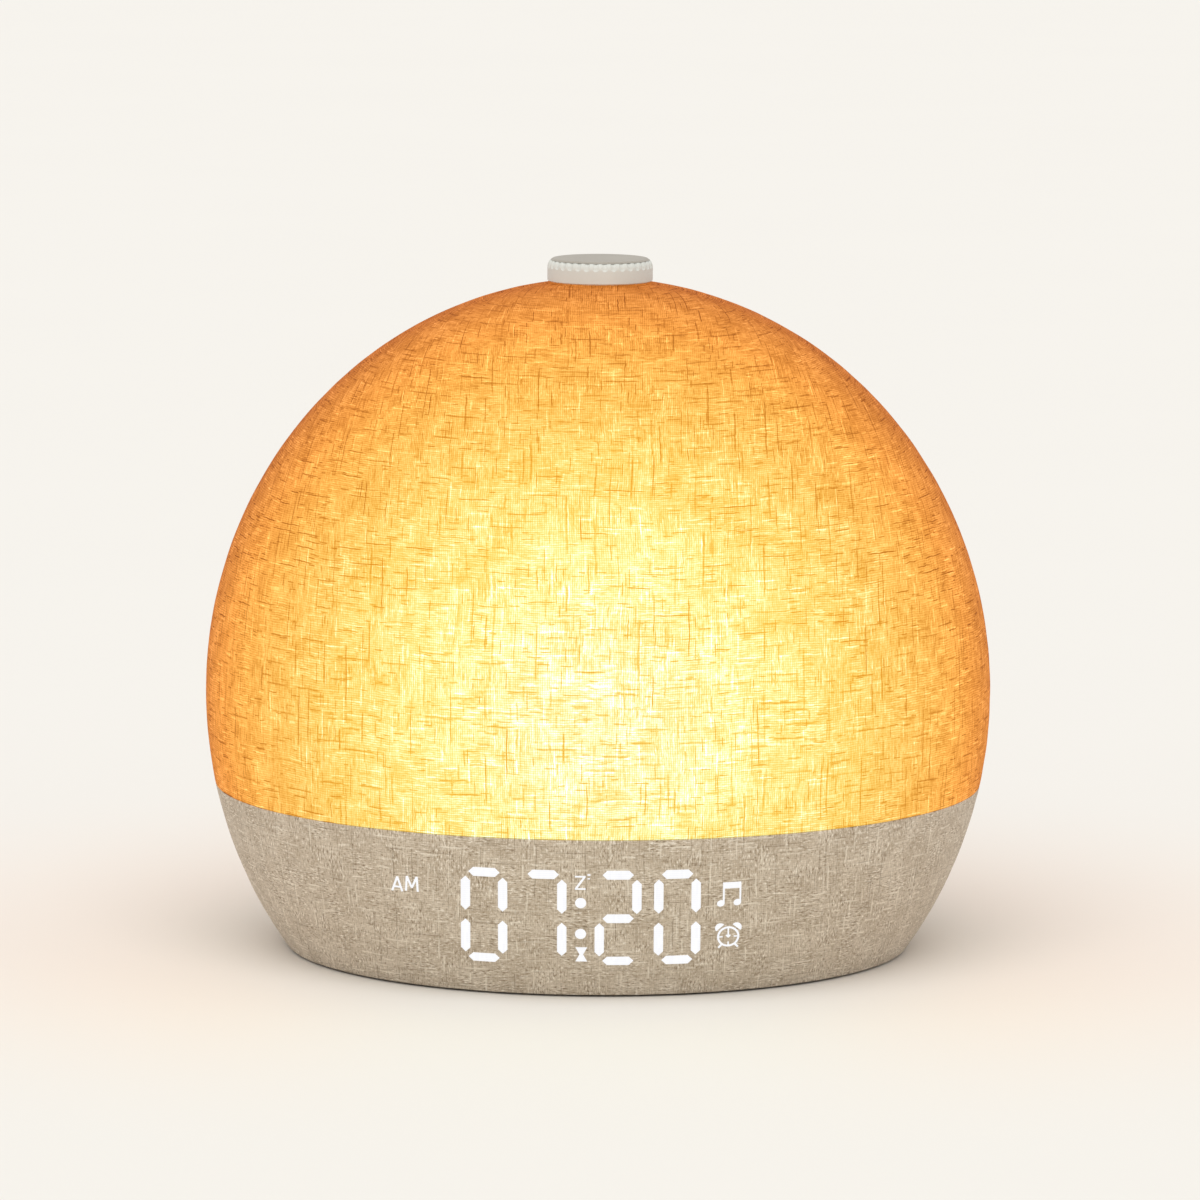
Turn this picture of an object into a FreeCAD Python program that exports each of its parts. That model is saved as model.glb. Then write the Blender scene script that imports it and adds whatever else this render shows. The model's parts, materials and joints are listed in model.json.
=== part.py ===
"""Sunrise alarm clock: a linen-covered glowing dome on a linen-covered base, with a knob on top.

Millimetres, +Z up, the display faces -Y. The origin is on the table, under the middle of the body.
Each function below makes one piece, or one group of like pieces, and the table at the end names them.
"""

import FreeCAD
import Part
import math
import os

V = FreeCAD.Vector
UP = V(0, 0, 1)
DOWN = V(0, 0, -1)
BACK = V(0, 1, 0)
FRONT = V(0, -1, 0)

# Outer form: an ellipse turned about Z, with a taller half below the widest height than a sphere has
body_radius = 95.0
equator_height = 62.2
dome_rise = 99.8
belly_drop = 101.3
seam_height = 40.0
edge_height = 0.5

# Skins
cloth_thickness = 0.9
glue_gap = 0.05
diffuser_wall = 2.0
housing_wall = 2.4
seam_gap = 0.3
cloth_turn = 5.0
cloth_edge_round = 0.4

# Clearances
slip = 0.05
ease = 0.15
loose = 0.3

# Screws
m3_radius = 1.5
m3_head_radius = 2.8
m3_head_height = 1.8
m2_radius = 1.0
m2_head_radius = 1.9
m2_head_height = 1.3
thread_depth = 6.0
drive_depth = 0.8

# Base underside
lip_width = 2.0
cover_rise = 0.2
cover_thickness = 2.7
foot_width = 4.5
foot_inset = 1.5
foot_groove = 0.9
foot_round = 0.3
foot_notches = 8
notch_width = 12.0
notch_height = 0.5
cover_screw_inset = 6.0
post_radius = 3.8
rib_thickness = 1.6
cover_screw_angles = (45, 135, 217, 323)

# Seam joint between dome and base
spigot_depth = 3.4
spigot_wall = 1.8
shelf_height = 2.0
tab_thickness = 3.0
tab_width = 12.0
tab_drop = 7.0
boss_radius = 4.0
dome_screw_angles = (30, 150, 210, 330)

# Light chamber
deck_thickness = 2.0
cable_hole_radius = 3.6
heat_plate_radius = 48.0
heat_plate_thickness = 2.0
led_board_radius = 46.0
board_thickness = 1.6
led_side = 5.0
led_height = 1.5
led_rings = ((24.0, 12), (38.0, 20))
reflector_foot_radius = 53.0
reflector_top_radius = 33.0
reflector_height = 82.0
reflector_wall = 1.2
column_radius = 5.0
column_flange_radius = 12.0
column_screw_circle = 8.6
column_screw_angles = (90, 210, 330)

# Knob and collar
knob_radius = 12.7
knob_height = 5.45
knob_round = 2.4
knob_round_height = 2.1
knob_wall = 1.7
knob_roof = 1.1
flute_count = 36
flute_radius = 1.3
flute_depth = 0.25
flute_start = 12.0
cap_thickness = 1.2
cap_brim = 0.35
cap_plug_radius = 10.4
lip_rise = 2.15
lip_thickness = 1.0
sleeve_bore = 6.5
sleeve_radius = 7.5
cloth_hole_radius = 9.0
press_travel = 0.4
press_gap = 0.1

# Rotary encoder
hub_radius = 5.0
hub_drop = 4.15
shaft_radius = 3.0
shaft_flat = 1.5
encoder_side = 12.4
encoder_height = 6.4
bushing_radius = 3.5
bushing_height = 4.5
hub_gap = 1.4
cavity_radius = 5.6
cavity_floor = 0.95
cavity_height = 4.6
rotor_radius = 5.2
rotor_height = 2.0
rotor_drop = 0.4
shoulder_radius = 3.8
shoulder_height = 0.7
snap_radius = 2.4
snap_height = 0.7
snap_wall = 0.15
encoder_board_radius = 12.3
encoder_post_radius = 2.3
encoder_post_circle = 10.3
encoder_post_angles = (90, 210, 330)
cup_wall = 1.2
cup_floor = 1.5

# Display: a curved light box behind the cloth, with seven-bar digits and a few signs
digit_width = 10.9
digit_height = 24.0
digit_middle = 20.6
digit_pitch = 13.8
colon_room = 3.65
digits_middle_x = -3.8
bar_width = 2.2
bar_side_gap = 1.8
bar_end_gap = 2.3
bar_middle_gap = 1.15
dot_radius = 1.3
dot_spread = 3.93
display_left = -51.0
display_right = 37.0
display_margin = 1.2
display_depth = 5.0
display_flange = 1.8
flange_thickness = 1.0
film_thickness = 0.3
flex_thickness = 0.6
guide_gap = 1.0
chip_side = 1.2
chip_height = 0.5
sign_windows = (
    (-44.95, 27.0, 7.4, 5.0),
    (-3.6, 29.5, 4.6, 4.4),
    (-3.6, 11.35, 3.8, 4.8),
    (30.7, 26.0, 7.0, 7.6),
    (30.7, 15.1, 7.2, 8.0),
)

# Rear panel with four buttons and the power inlet
panel_half_width = 30.0
panel_bottom = 11.0
panel_top = 31.5
panel_corner = 4.0
panel_flange = 1.8
panel_proud = 0.2
button_length = 9.0
button_width = 5.0
button_height = 25.0
button_pitch = 14.0
button_proud = 0.7
button_flange = 0.9
button_travel = 0.3
button_stem_radius = 1.5
tact_side = 6.0
tact_height = 3.5
plunger_radius = 1.6
plunger_height = 1.1
rear_board_room = 17.0
inlet_height = 16.2
inlet_width = 9.0
inlet_depth = 3.3
inlet_wall = 0.35
tongue_width = 6.7
tongue_thickness = 0.7
panel_post_radius = 2.4
panel_post_x = 25.0
panel_post_z = 17.0

# Speaker, firing down through the bottom cover
speaker_radius = 22.0
gasket_thickness = 1.0
basket_flange = 1.2
basket_depth = 8.6
basket_wall = 1.2
magnet_radius = 14.0
magnet_height = 6.2
pole_radius = 6.3
coil_gap = 1.0
cone_travel = 0.8
cone_rim_radius = 16.0
basket_mouth = 17.6
cone_wall = 0.5
surround_thickness = 0.4
grille_hole_radius = 1.1
grille_pitch = 3.8
grille_rings = 4

# Backup coin cell under its own door
cell_radius = 10.0
cell_thickness = 3.2
cell_inset = 17.9
cell_y = -8.0
cell_wall = 1.3
door_thickness = 1.2
door_ledge = 2.0
door_tab_reach = 14.5
door_tab_radius = 3.6
contact_thickness = 0.3

# Main board
board_half_width = 27.0
board_front = 26.0
board_back = 62.0
standoff_height = 4.6
standoff_radius = 3.0
standoff_inset = 4.6

# Ribbons and wires
ribbon_width = 5.0
ribbon_thickness = 0.4
ribbon_bend = 3.0
wire_radius = 0.8
wire_pitch = 2.4
display_ribbon_x = 8.9
led_wire_reach = 4.6

# Heights and radii worked out from the sizes above
cloth_inner = cloth_thickness + glue_gap
diffuser_inner = cloth_inner + diffuser_wall
housing_inner = cloth_inner + housing_wall
beyond = 1.4 * body_radius
front_span = (-beyond, -0.2 * body_radius)
back_span = (0.5 * body_radius, beyond)
lip_bottom = edge_height + cloth_inner
lip_top = lip_bottom + housing_wall
cover_bottom = edge_height + cover_rise
cover_top = cover_bottom + cover_thickness
tab_top = seam_height - tab_drop
spigot_bottom = seam_height - spigot_depth
shelf_top = seam_height + seam_gap / 2 + shelf_height
deck_bottom = shelf_top + glue_gap
deck_top = deck_bottom + deck_thickness
heat_plate_top = deck_top + glue_gap + heat_plate_thickness
led_board_top = heat_plate_top + glue_gap + board_thickness


def skin_radius(z, offset=0.0):
    """Radius of the body's outline at height z, moved inward by offset."""
    rise = (dome_rise if z > equator_height else belly_drop) - offset
    share = (z - equator_height) / rise
    return (body_radius - offset) * math.sqrt(max(0.0, 1 - share * share))


def skin_height(radius, offset=0.0):
    """Height of the dome at a radius near its top, moved inward by offset."""
    share = radius / (body_radius - offset)
    return equator_height + (dome_rise - offset) * math.sqrt(max(0.0, 1 - share * share))


bottom_radius = skin_radius(edge_height)
cloth_turn_radius = bottom_radius - cloth_turn
cover_rim_radius = cloth_turn_radius - loose
lip_radius = cover_rim_radius - lip_width
cover_radius = lip_radius - ease
foot_outer = cover_radius - foot_inset
foot_inner = foot_outer - foot_width
cover_screw_circle = foot_inner - cover_screw_inset
cell_x = cell_inset - foot_inner
boss_circle = skin_radius(tab_top, housing_inner) - boss_radius - loose
deck_radius = skin_radius(deck_bottom, diffuser_inner) - loose

seat_radius = cloth_hole_radius - loose
seat_height = skin_height(seat_radius, cloth_inner)
knob_bottom = skin_height(knob_radius) + press_travel + press_gap
knob_top = knob_bottom + knob_height
knob_inner = knob_radius - knob_wall
cap_bottom = knob_top - cap_thickness - slip
roof_bottom = cap_bottom - slip - knob_roof
hub_bottom = knob_bottom - hub_drop
bushing_top = hub_bottom - hub_gap
encoder_top = bushing_top - bushing_height
encoder_bottom = encoder_top - encoder_height
encoder_board_bottom = encoder_bottom - glue_gap - board_thickness
rotor_top = encoder_bottom + cavity_floor + cavity_height - rotor_drop
shoulder_top = rotor_top - rotor_height - loose
shaft_bottom = encoder_bottom + cavity_floor + snap_height + slip + ease
shaft_top = roof_bottom - slip
pad_radius = encoder_post_circle + encoder_post_radius + ease
pad_bottom = skin_height(pad_radius, diffuser_inner) - 1.5
cup_inner = pad_radius + 0.5
cup_bottom = encoder_board_bottom - m2_head_height - 1.0 - cup_floor
cup_top = skin_height(cup_inner + cup_wall, diffuser_inner) - 0.6

display_top = digit_middle + digit_height / 2 + display_margin
display_bottom = digit_middle - digit_height / 2 - display_margin
box_outer = cloth_inner + film_thickness + slip
box_inner = cloth_inner + display_depth
flex_outer = box_inner + slip

panel_inner = housing_inner + slip
rear_board_y = skin_radius(button_height) - rear_board_room
rear_board_front = rear_board_y - board_thickness
plunger_tip_y = rear_board_y + tact_height + plunger_height

gasket_top = cover_top + gasket_thickness
basket_top = gasket_top + basket_depth + basket_wall
magnet_bottom = basket_top + glue_gap
surround_bottom = gasket_top + basket_flange + glue_gap
cone_rim_bottom = surround_bottom + surround_thickness + glue_gap
board_bottom = cover_top + standoff_height
board_top = board_bottom + board_thickness


# General shapes
def line(a, b):
    return Part.LineSegment(a, b).toShape()


def ellipse_edge(semi_r, semi_z, z_mid, start, end):
    """Elliptical edge in the XZ plane, from one angle above the middle to another, in radians."""
    spots = [V(math.cos(t), 0, math.sin(t)) for t in (start, (start + end) / 2, end)]
    curve = Part.Arc(*spots).toBSpline()
    for i, pole in enumerate(curve.getPoles()):
        curve.setPole(i + 1, V(pole.x * semi_r, 0, z_mid + pole.z * semi_z))
    return curve.toShape()


def skin_edges(offset, z_low, z_high):
    """The body's outline from z_low up to z_high, moved inward by offset."""
    edges = []
    semi_r = body_radius - offset
    if z_low < equator_height:
        rise = belly_drop - offset
        top = min(z_high, equator_height)
        start, end = ((z - equator_height) / rise for z in (z_low, top))
        edges.append(ellipse_edge(semi_r, rise, equator_height, math.asin(start), math.asin(end)))
    if z_high > equator_height:
        rise = dome_rise - offset
        low = max(z_low, equator_height)
        start, end = ((z - equator_height) / rise for z in (low, z_high))
        edges.append(ellipse_edge(semi_r, rise, equator_height, math.asin(start), math.asin(end)))
    return edges


def turned(edges):
    """Solid made by turning a closed outline in the XZ plane about Z."""
    wire = Part.Wire(Part.__sortEdges__(edges))
    return Part.Face(wire).revolve(V(0, 0, 0), UP, 360)


def turned_outline(points):
    """Solid made by turning a polygon of (radius, height) about Z."""
    corners = [V(r, 0, z) for r, z in points]
    return turned([line(a, b) for a, b in zip(corners, corners[1:] + corners[:1])])


def skin_shell(outer, inner, z_low, z_high):
    """Wall between two offsets of the body's outline, with flat ends at two heights."""
    out = skin_edges(outer, z_low, z_high)
    ins = skin_edges(inner, z_low, z_high)
    ends = [
        line(V(skin_radius(z, outer), 0, z), V(skin_radius(z, inner), 0, z))
        for z in (z_low, z_high)
    ]
    return turned(out + ins + ends)


def skin_fill(offset, z_low, z_high):
    """Everything inside the outline moved inward by offset, between two heights."""
    low, high = (V(skin_radius(z, offset), 0, z) for z in (z_low, z_high))
    middle = [V(0, 0, z_low), V(0, 0, z_high)]
    ends = [line(low, middle[0]), line(middle[0], middle[1]), line(middle[1], high)]
    return turned(skin_edges(offset, z_low, z_high) + ends)


def dome_wall(outer, inner, z_low, hole):
    """Dome wall from z_low up to a round hole at the top, with an upright rim."""
    tops = [skin_height(hole, outer), skin_height(hole, inner)]
    out = skin_edges(outer, z_low, tops[0])
    ins = skin_edges(inner, z_low, tops[1])
    ends = [
        line(V(skin_radius(z_low, outer), 0, z_low), V(skin_radius(z_low, inner), 0, z_low)),
        line(V(hole, 0, tops[0]), V(hole, 0, tops[1])),
    ]
    return turned(out + ins + ends)


def disc(radius, z_low, z_high, x=0.0, y=0.0):
    return Part.makeCylinder(radius, z_high - z_low, V(x, y, z_low), UP)


def ring(outer, inner, z_low, z_high, x=0.0, y=0.0):
    return disc(outer, z_low, z_high, x, y).cut(disc(inner, z_low - 1, z_high + 1, x, y))


def box(x, y, z):
    """Box from three (low, high) pairs."""
    return Part.makeBox(x[1] - x[0], y[1] - y[0], z[1] - z[0], V(x[0], y[0], z[0]))


def rod(radius, start, end):
    """Cylinder between two points."""
    return Part.makeCylinder(radius, (end - start).Length, start, end - start)


def around(radius, degrees):
    """Point on a circle about Z, at z 0."""
    angle = math.radians(degrees)
    return V(radius * math.cos(angle), radius * math.sin(angle), 0)


def plate(x, z, corner, y):
    """Rounded rectangle in XZ between two Y values: x and z are (low, high) pairs."""
    block = box(x, y, z)
    if corner <= 0:
        return block
    edges = [e for e in block.Edges if abs(abs(e.tangentAt(e.FirstParameter).y) - 1) < 1e-6]
    return block.makeFillet(corner, edges)


def prism(points, y):
    """Polygon of (x, z) points, between two Y values."""
    corners = [V(px, y[0], pz) for px, pz in points]
    wire = Part.makePolygon(corners + corners[:1])
    return Part.Face(wire).extrude(V(0, y[1] - y[0], 0))


def joined(shapes):
    first, rest = shapes[0], shapes[1:]
    return first.fuse(rest).removeSplitter() if rest else first


def screw(head, direction, radius, head_radius, head_height, length):
    """Pan-head screw. head is the underside of its head, and it drives along direction."""
    back = V(direction).multiply(-head_height)
    body = rod(head_radius, head + back, head).fuse(rod(radius, head, head + V(direction).multiply(length)))
    turn = FreeCAD.Rotation(UP, direction)
    arm, half = (-head_radius * 0.6, head_radius * 0.6), (-0.3, 0.3)
    cross = joined([box(arm, half, (0, drive_depth)), box(half, arm, (0, drive_depth))])
    cross.Placement = FreeCAD.Placement(head + back, turn)
    return body.cut(cross)


def m3_screw(head, direction, length):
    return screw(head, direction, m3_radius, m3_head_radius, m3_head_height, length)


def m2_screw(head, direction, length):
    return screw(head, direction, m2_radius, m2_head_radius, m2_head_height, length)


def outer_rims(solid, z, radius):
    """Round edges of a turned solid at one height and radius."""
    found = []
    for edge in solid.Edges:
        bounds = edge.BoundBox
        if bounds.ZLength < 1e-4 and abs(bounds.ZMin - z) < 1e-3 and abs(bounds.XMax - radius) < 1e-2:
            found.append(edge)
    return found


# Cloth and shells
def rear_window(grow, y=(0.0, beyond)):
    """The rear panel's outline, grown on each side."""
    return plate(
        (-panel_half_width - grow, panel_half_width + grow),
        (panel_bottom - grow, panel_top + grow),
        panel_corner + grow,
        y,
    )


def display_window(grow):
    """The display's outline at the front, grown on each side."""
    return plate(
        (display_left - grow, display_right + grow),
        (display_bottom - grow, display_top + grow),
        1.0 + max(grow, 0.0),
        front_span,
    )


def dome_fabric():
    """Linen cover of the lit dome, from the seam to the hole under the collar."""
    low = seam_height + seam_gap / 2
    cover = dome_wall(0.0, cloth_thickness, low, cloth_hole_radius)
    return cover.makeFillet(cloth_edge_round, outer_rims(cover, low, skin_radius(low)))


def base_fabric():
    """Linen band of the base, turned under the housing's lip, with the rear panel's opening."""
    top = seam_height - seam_gap / 2
    turn_top = edge_height + cloth_thickness
    corners = [
        V(bottom_radius, 0, edge_height),
        V(cloth_turn_radius, 0, edge_height),
        V(cloth_turn_radius, 0, turn_top),
        V(skin_radius(turn_top, cloth_thickness), 0, turn_top),
    ]
    edges = skin_edges(0.0, edge_height, top) + skin_edges(cloth_thickness, turn_top, top)
    edges += [line(a, b) for a, b in zip(corners, corners[1:])]
    edges.append(line(V(skin_radius(top), 0, top), V(skin_radius(top, cloth_thickness), 0, top)))
    band = turned(edges)
    for z, radius in ((top, skin_radius(top)), (edge_height, bottom_radius)):
        band = band.makeFillet(cloth_edge_round, outer_rims(band, z, radius))
    return band.cut(rear_window(ease))


def dome_diffuser():
    """Milky shell under the dome cloth, with the joint to the base and the encoder's posts."""
    low = seam_height + seam_gap / 2
    wall = dome_wall(cloth_inner, diffuser_inner, low, sleeve_radius + slip)
    spigot_outer = skin_radius(spigot_bottom, housing_inner) - ease
    spigot_inner = spigot_outer - spigot_wall
    middle = skin_radius(low, (cloth_inner + diffuser_inner) / 2)
    shelf = turned_outline([
        (spigot_inner, spigot_bottom),
        (spigot_outer, spigot_bottom),
        (spigot_outer, low),
        (middle, low),
        (middle, shelf_top),
        (spigot_inner, shelf_top),
    ])
    pad = ring(pad_radius, sleeve_radius + slip, pad_bottom, skin_height(pad_radius, cloth_inner + 1.0))
    parts = [wall, shelf, pad]
    for angle in dome_screw_angles:
        spot = around(boss_circle, angle)
        parts.append(disc(boss_radius, tab_top + slip, shelf_top, spot.x, spot.y))
    for angle in encoder_post_angles:
        spot = around(encoder_post_circle, angle)
        parts.append(disc(encoder_post_radius, encoder_bottom, pad_bottom + 0.5, spot.x, spot.y))
    shell = joined(parts)
    holes = [disc(body_radius, seat_height, seat_height + 10)]
    for angle in dome_screw_angles:
        spot = around(boss_circle, angle)
        holes.append(disc(m3_radius + slip, tab_top - 1, tab_top + thread_depth, spot.x, spot.y))
        holes.append(disc(m3_radius + slip, shelf_top - 2.6, shelf_top + 1, spot.x, spot.y))
    for angle in encoder_post_angles:
        spot = around(encoder_post_circle, angle)
        holes.append(disc(m2_radius + slip, encoder_bottom - 1, encoder_bottom + thread_depth, spot.x, spot.y))
    return shell.cut(holes)


def base_housing():
    """Opaque shell of the base: wall, bottom lip, screw posts, tabs for the dome, and two openings."""
    top = seam_height - seam_gap / 2
    wall = skin_shell(cloth_inner, housing_inner, lip_bottom, top)
    lip = ring(skin_radius(lip_top, cloth_inner + 1.0), lip_radius, lip_bottom, lip_top)
    lip = lip.common(skin_fill(cloth_inner, lip_bottom, lip_top))
    inside = skin_fill((cloth_inner + housing_inner) / 2, lip_bottom, top)
    parts = [wall, lip]
    for angle in cover_screw_angles:
        spot = around(cover_screw_circle, angle)
        post = disc(post_radius, cover_top + slip, tab_top - tab_thickness, spot.x, spot.y)
        rib = box((cover_screw_circle, body_radius), (-rib_thickness / 2, rib_thickness / 2),
                  (cover_top + slip, tab_top - tab_thickness))
        rib.rotate(V(0, 0, 0), UP, angle)
        parts.append(post.fuse(rib).common(inside))
    for angle in dome_screw_angles:
        tab = box((boss_circle - boss_radius - 1, body_radius), (-tab_width / 2, tab_width / 2),
                  (tab_top - tab_thickness, tab_top))
        tab.rotate(V(0, 0, 0), UP, angle)
        parts.append(tab.common(inside))
    shell = joined(parts)
    holes = [rear_window(ease), display_window(ease)]
    for angle in cover_screw_angles:
        spot = around(cover_screw_circle, angle)
        holes.append(disc(m3_radius + slip, cover_top - 1, cover_top + thread_depth + 2, spot.x, spot.y))
    for angle in dome_screw_angles:
        spot = around(boss_circle, angle)
        holes.append(disc(m3_radius + ease, 0, tab_top + 1, spot.x, spot.y))
    return shell.cut(holes)


def bottom_cover():
    """Round cover with the speaker grille, the coin cell's bay, the foot groove and board standoffs."""
    parts = [turned_outline([
        (0, cover_bottom),
        (cover_rim_radius, cover_bottom),
        (cover_rim_radius, lip_bottom - slip),
        (cover_radius, lip_bottom - slip),
        (cover_radius, cover_top),
        (0, cover_top),
    ])]
    bay_top = cell_bay_top()
    bay_radius = cell_radius + loose
    parts.append(disc(bay_radius + cell_wall, cover_top - 0.5, bay_top + cell_wall, cell_x, cell_y))
    tab_y = cell_y - door_tab_reach
    parts.append(disc(door_tab_radius, cover_top - 0.5, cover_top + thread_depth - 1, cell_x, tab_y))
    for x, y in board_screw_spots():
        parts.append(disc(standoff_radius, cover_top - 0.5, board_bottom - slip, x, y))
    cover = joined(parts)
    holes = [
        ring(foot_outer + slip, foot_inner - slip, cover_bottom - 1, cover_bottom + foot_groove),
        disc(bay_radius, 0, bay_top, cell_x, cell_y),
        door_blank(ease, cover_bottom - 1, cover_bottom + door_thickness + slip),
        disc(m2_radius + slip, 0, cover_top + thread_depth - 2, cell_x, tab_y),
    ]
    for angle in cover_screw_angles:
        spot = around(cover_screw_circle, angle)
        holes.append(disc(m3_radius + ease, 0, cover_top + 1, spot.x, spot.y))
        holes.append(disc(m3_head_radius + ease, 0, cover_bottom + m3_head_height + slip, spot.x, spot.y))
    for x, y in board_screw_spots():
        holes.append(disc(m2_radius + slip, board_bottom - standoff_height, board_bottom + 1, x, y))
    for n in range(grille_rings + 1):
        count = max(1, 6 * n)
        for i in range(count):
            spot = around(n * grille_pitch, 360 * i / count)
            holes.append(disc(grille_hole_radius, 0, cover_top + 1, spot.x, spot.y))
    return cover.cut(holes)


def foot_ring():
    """Soft ring that the clock stands on, with notches that let the speaker's sound out."""
    foot = ring(foot_outer, foot_inner, 0, cover_bottom + foot_groove - slip)
    rims = [e for e in foot.Edges if e.BoundBox.ZMax < 1e-6]
    foot = foot.makeFillet(foot_round, rims)
    notches = []
    for n in range(foot_notches):
        notch = box((foot_inner - 1, foot_outer + 1), (-notch_width / 2, notch_width / 2), (-1, notch_height))
        notch.rotate(V(0, 0, 0), UP, 360 * (n + 0.5) / foot_notches)
        notches.append(notch)
    return foot.cut(notches)


def cover_screws():
    spots = [around(cover_screw_circle, a) for a in cover_screw_angles]
    head = cover_bottom + m3_head_height
    return [m3_screw(V(s.x, s.y, head), UP, cover_top + thread_depth - head) for s in spots]


def dome_screws():
    spots = [around(boss_circle, a) for a in dome_screw_angles]
    head = tab_top - tab_thickness - slip
    return [m3_screw(V(s.x, s.y, head), UP, tab_thickness + thread_depth - 1) for s in spots]


def deck_screws():
    spots = [around(boss_circle, a) for a in dome_screw_angles]
    return [m3_screw(V(s.x, s.y, deck_top + slip), DOWN, deck_thickness + 2.2) for s in spots]


# Light chamber
def light_deck():
    """Opaque white floor of the light chamber, on the diffuser's shelf."""
    deck = disc(deck_radius, deck_bottom, deck_top)
    holes = [disc(cable_hole_radius, 0, deck_top + 1), disc(3.0, 0, deck_top + 1, led_wire_x())]
    for angle in dome_screw_angles:
        spot = around(boss_circle, angle)
        holes.append(disc(m3_radius + ease, 0, deck_top + 1, spot.x, spot.y))
    for angle in column_screw_angles:
        spot = around(column_screw_circle, angle)
        holes.append(disc(m2_radius + slip, 0, deck_top + 1, spot.x, spot.y))
    return deck.cut(holes)


def led_wire_x():
    return column_flange_radius + led_wire_reach


def led_heat_plate():
    """Aluminium plate that carries the LED board's heat."""
    plate_ring = ring(heat_plate_radius, column_flange_radius + loose, deck_top + glue_gap, heat_plate_top)
    return plate_ring.cut(disc(3.0, deck_top, heat_plate_top + 1, led_wire_x()))


def led_board():
    board = ring(led_board_radius, column_flange_radius + 1.5, heat_plate_top + glue_gap, led_board_top)
    return board.cut(disc(2.6, heat_plate_top, led_board_top + 1, led_wire_x()))


def led_chips():
    chips = []
    for radius, count in led_rings:
        for i in range(count):
            half = led_side / 2
            chip = box((radius - half, radius + half), (-half, half),
                       (led_board_top + slip, led_board_top + slip + led_height))
            chip.rotate(V(0, 0, 0), UP, 360 * (i + 0.5) / count)
            chips.append(chip)
    return chips


def back_reflector():
    """White half cone behind the LEDs, which throws their light towards the front of the dome."""
    foot = deck_top + glue_gap
    top = foot + reflector_height
    edge = 6.0
    corners = [
        (reflector_foot_radius + edge, foot),
        (reflector_foot_radius + edge, foot + reflector_wall),
        (reflector_foot_radius + reflector_wall, foot + reflector_wall),
        (reflector_top_radius + reflector_wall, top),
        (reflector_top_radius, top),
        (reflector_foot_radius, foot + reflector_wall),
        (reflector_foot_radius, foot),
    ]
    points = [V(r, 0, z) for r, z in corners]
    face = Part.Face(Part.makePolygon(points + points[:1]))
    return face.revolve(V(0, 0, 0), UP, 180)


def cable_column():
    """Post from the deck to the dome's top, with a cup round the encoder and the ribbon's bore."""
    foot = deck_top + glue_gap
    parts = [
        disc(column_flange_radius, foot, foot + deck_thickness),
        disc(column_radius, foot, cup_bottom + cup_floor),
        disc(cup_inner + cup_wall, cup_bottom, cup_top),
    ]
    column = joined(parts)
    holes = [disc(cup_inner, cup_bottom + cup_floor, cup_top + 1), disc(cable_hole_radius, 0, cup_top)]
    for angle in column_screw_angles:
        spot = around(column_screw_circle, angle)
        holes.append(disc(m2_radius + ease, 0, foot + deck_thickness + 1, spot.x, spot.y))
    return column.cut(holes)


def column_screws():
    spots = [around(column_screw_circle, a) for a in column_screw_angles]
    head = deck_top + glue_gap + deck_thickness + slip
    return [m2_screw(V(s.x, s.y, head), DOWN, 2 * deck_thickness) for s in spots]


# Knob, collar and encoder
def knob():
    """Turning knob: fluted round shoulder, recess for the cap's plug, and a hub on the shaft."""
    middle = V(knob_radius - knob_round, 0, knob_top - knob_round_height)
    lean = math.asin((knob_round_height - cap_brim - slip) / knob_round)
    spots = [middle + V(knob_round * math.cos(t), 0, knob_round * math.sin(t)) for t in (0, lean / 2, lean)]
    recess = cap_plug_radius + slip
    chamfer = 0.25
    skirt_inner_bottom = skin_height(knob_inner) + press_travel + press_gap + ease
    corners = [
        spots[2],
        V(recess, 0, spots[2].z),
        V(recess, 0, cap_bottom - slip),
        V(0, 0, cap_bottom - slip),
        V(0, 0, hub_bottom),
        V(hub_radius, 0, hub_bottom),
        V(hub_radius, 0, roof_bottom),
        V(knob_inner, 0, roof_bottom),
        V(knob_inner, 0, skirt_inner_bottom),
        V(knob_radius - chamfer, 0, knob_bottom),
        V(knob_radius, 0, knob_bottom + chamfer),
        spots[0],
    ]
    edges = [Part.Arc(*spots).toShape()] + [line(a, b) for a, b in zip(corners, corners[1:])]
    body = turned(edges)
    body = body.cut(d_bar(shaft_radius + slip, shaft_flat + slip, hub_bottom - 1, shaft_top + slip))
    return body.cut(knob_flutes(middle))


def knob_flutes(middle):
    """Shallow scoops along the knob's round shoulder, with round lower ends."""
    reach = knob_round + flute_radius - flute_depth
    lean = math.radians(flute_start)
    start = middle + V(reach * math.cos(lean), 0, reach * math.sin(lean))
    along = V(-math.sin(lean), 0, math.cos(lean))
    circle = Part.Face(Part.Wire(Part.Circle(start, along, flute_radius).toShape()))
    scoop = circle.revolve(middle, FRONT, 80).fuse(Part.makeSphere(flute_radius, start))
    flutes = []
    for i in range(flute_count):
        flute = scoop.copy()
        flute.rotate(V(0, 0, 0), UP, 360 * (i + 0.5) / flute_count)
        flutes.append(flute)
    return flutes


def d_bar(radius, flat, z_low, z_high):
    """Round bar with one flat side towards the back."""
    return disc(radius, z_low, z_high).cut(box((-9, 9), (flat, 9), (z_low - 1, z_high + 1)))


def knob_cap():
    """Disc on the knob's top: a plug in the recess, and a thin brim that carries on the round shoulder."""
    brim_bottom = knob_top - cap_brim
    radii = [
        knob_radius - knob_round + math.sqrt(knob_round**2 - (knob_round_height - drop) ** 2)
        for drop in (0.0, cap_brim)
    ]
    return turned_outline([
        (0, cap_bottom),
        (cap_plug_radius, cap_bottom),
        (cap_plug_radius, brim_bottom),
        (radii[1], brim_bottom),
        (radii[0], knob_top),
        (0, knob_top),
    ])


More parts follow.
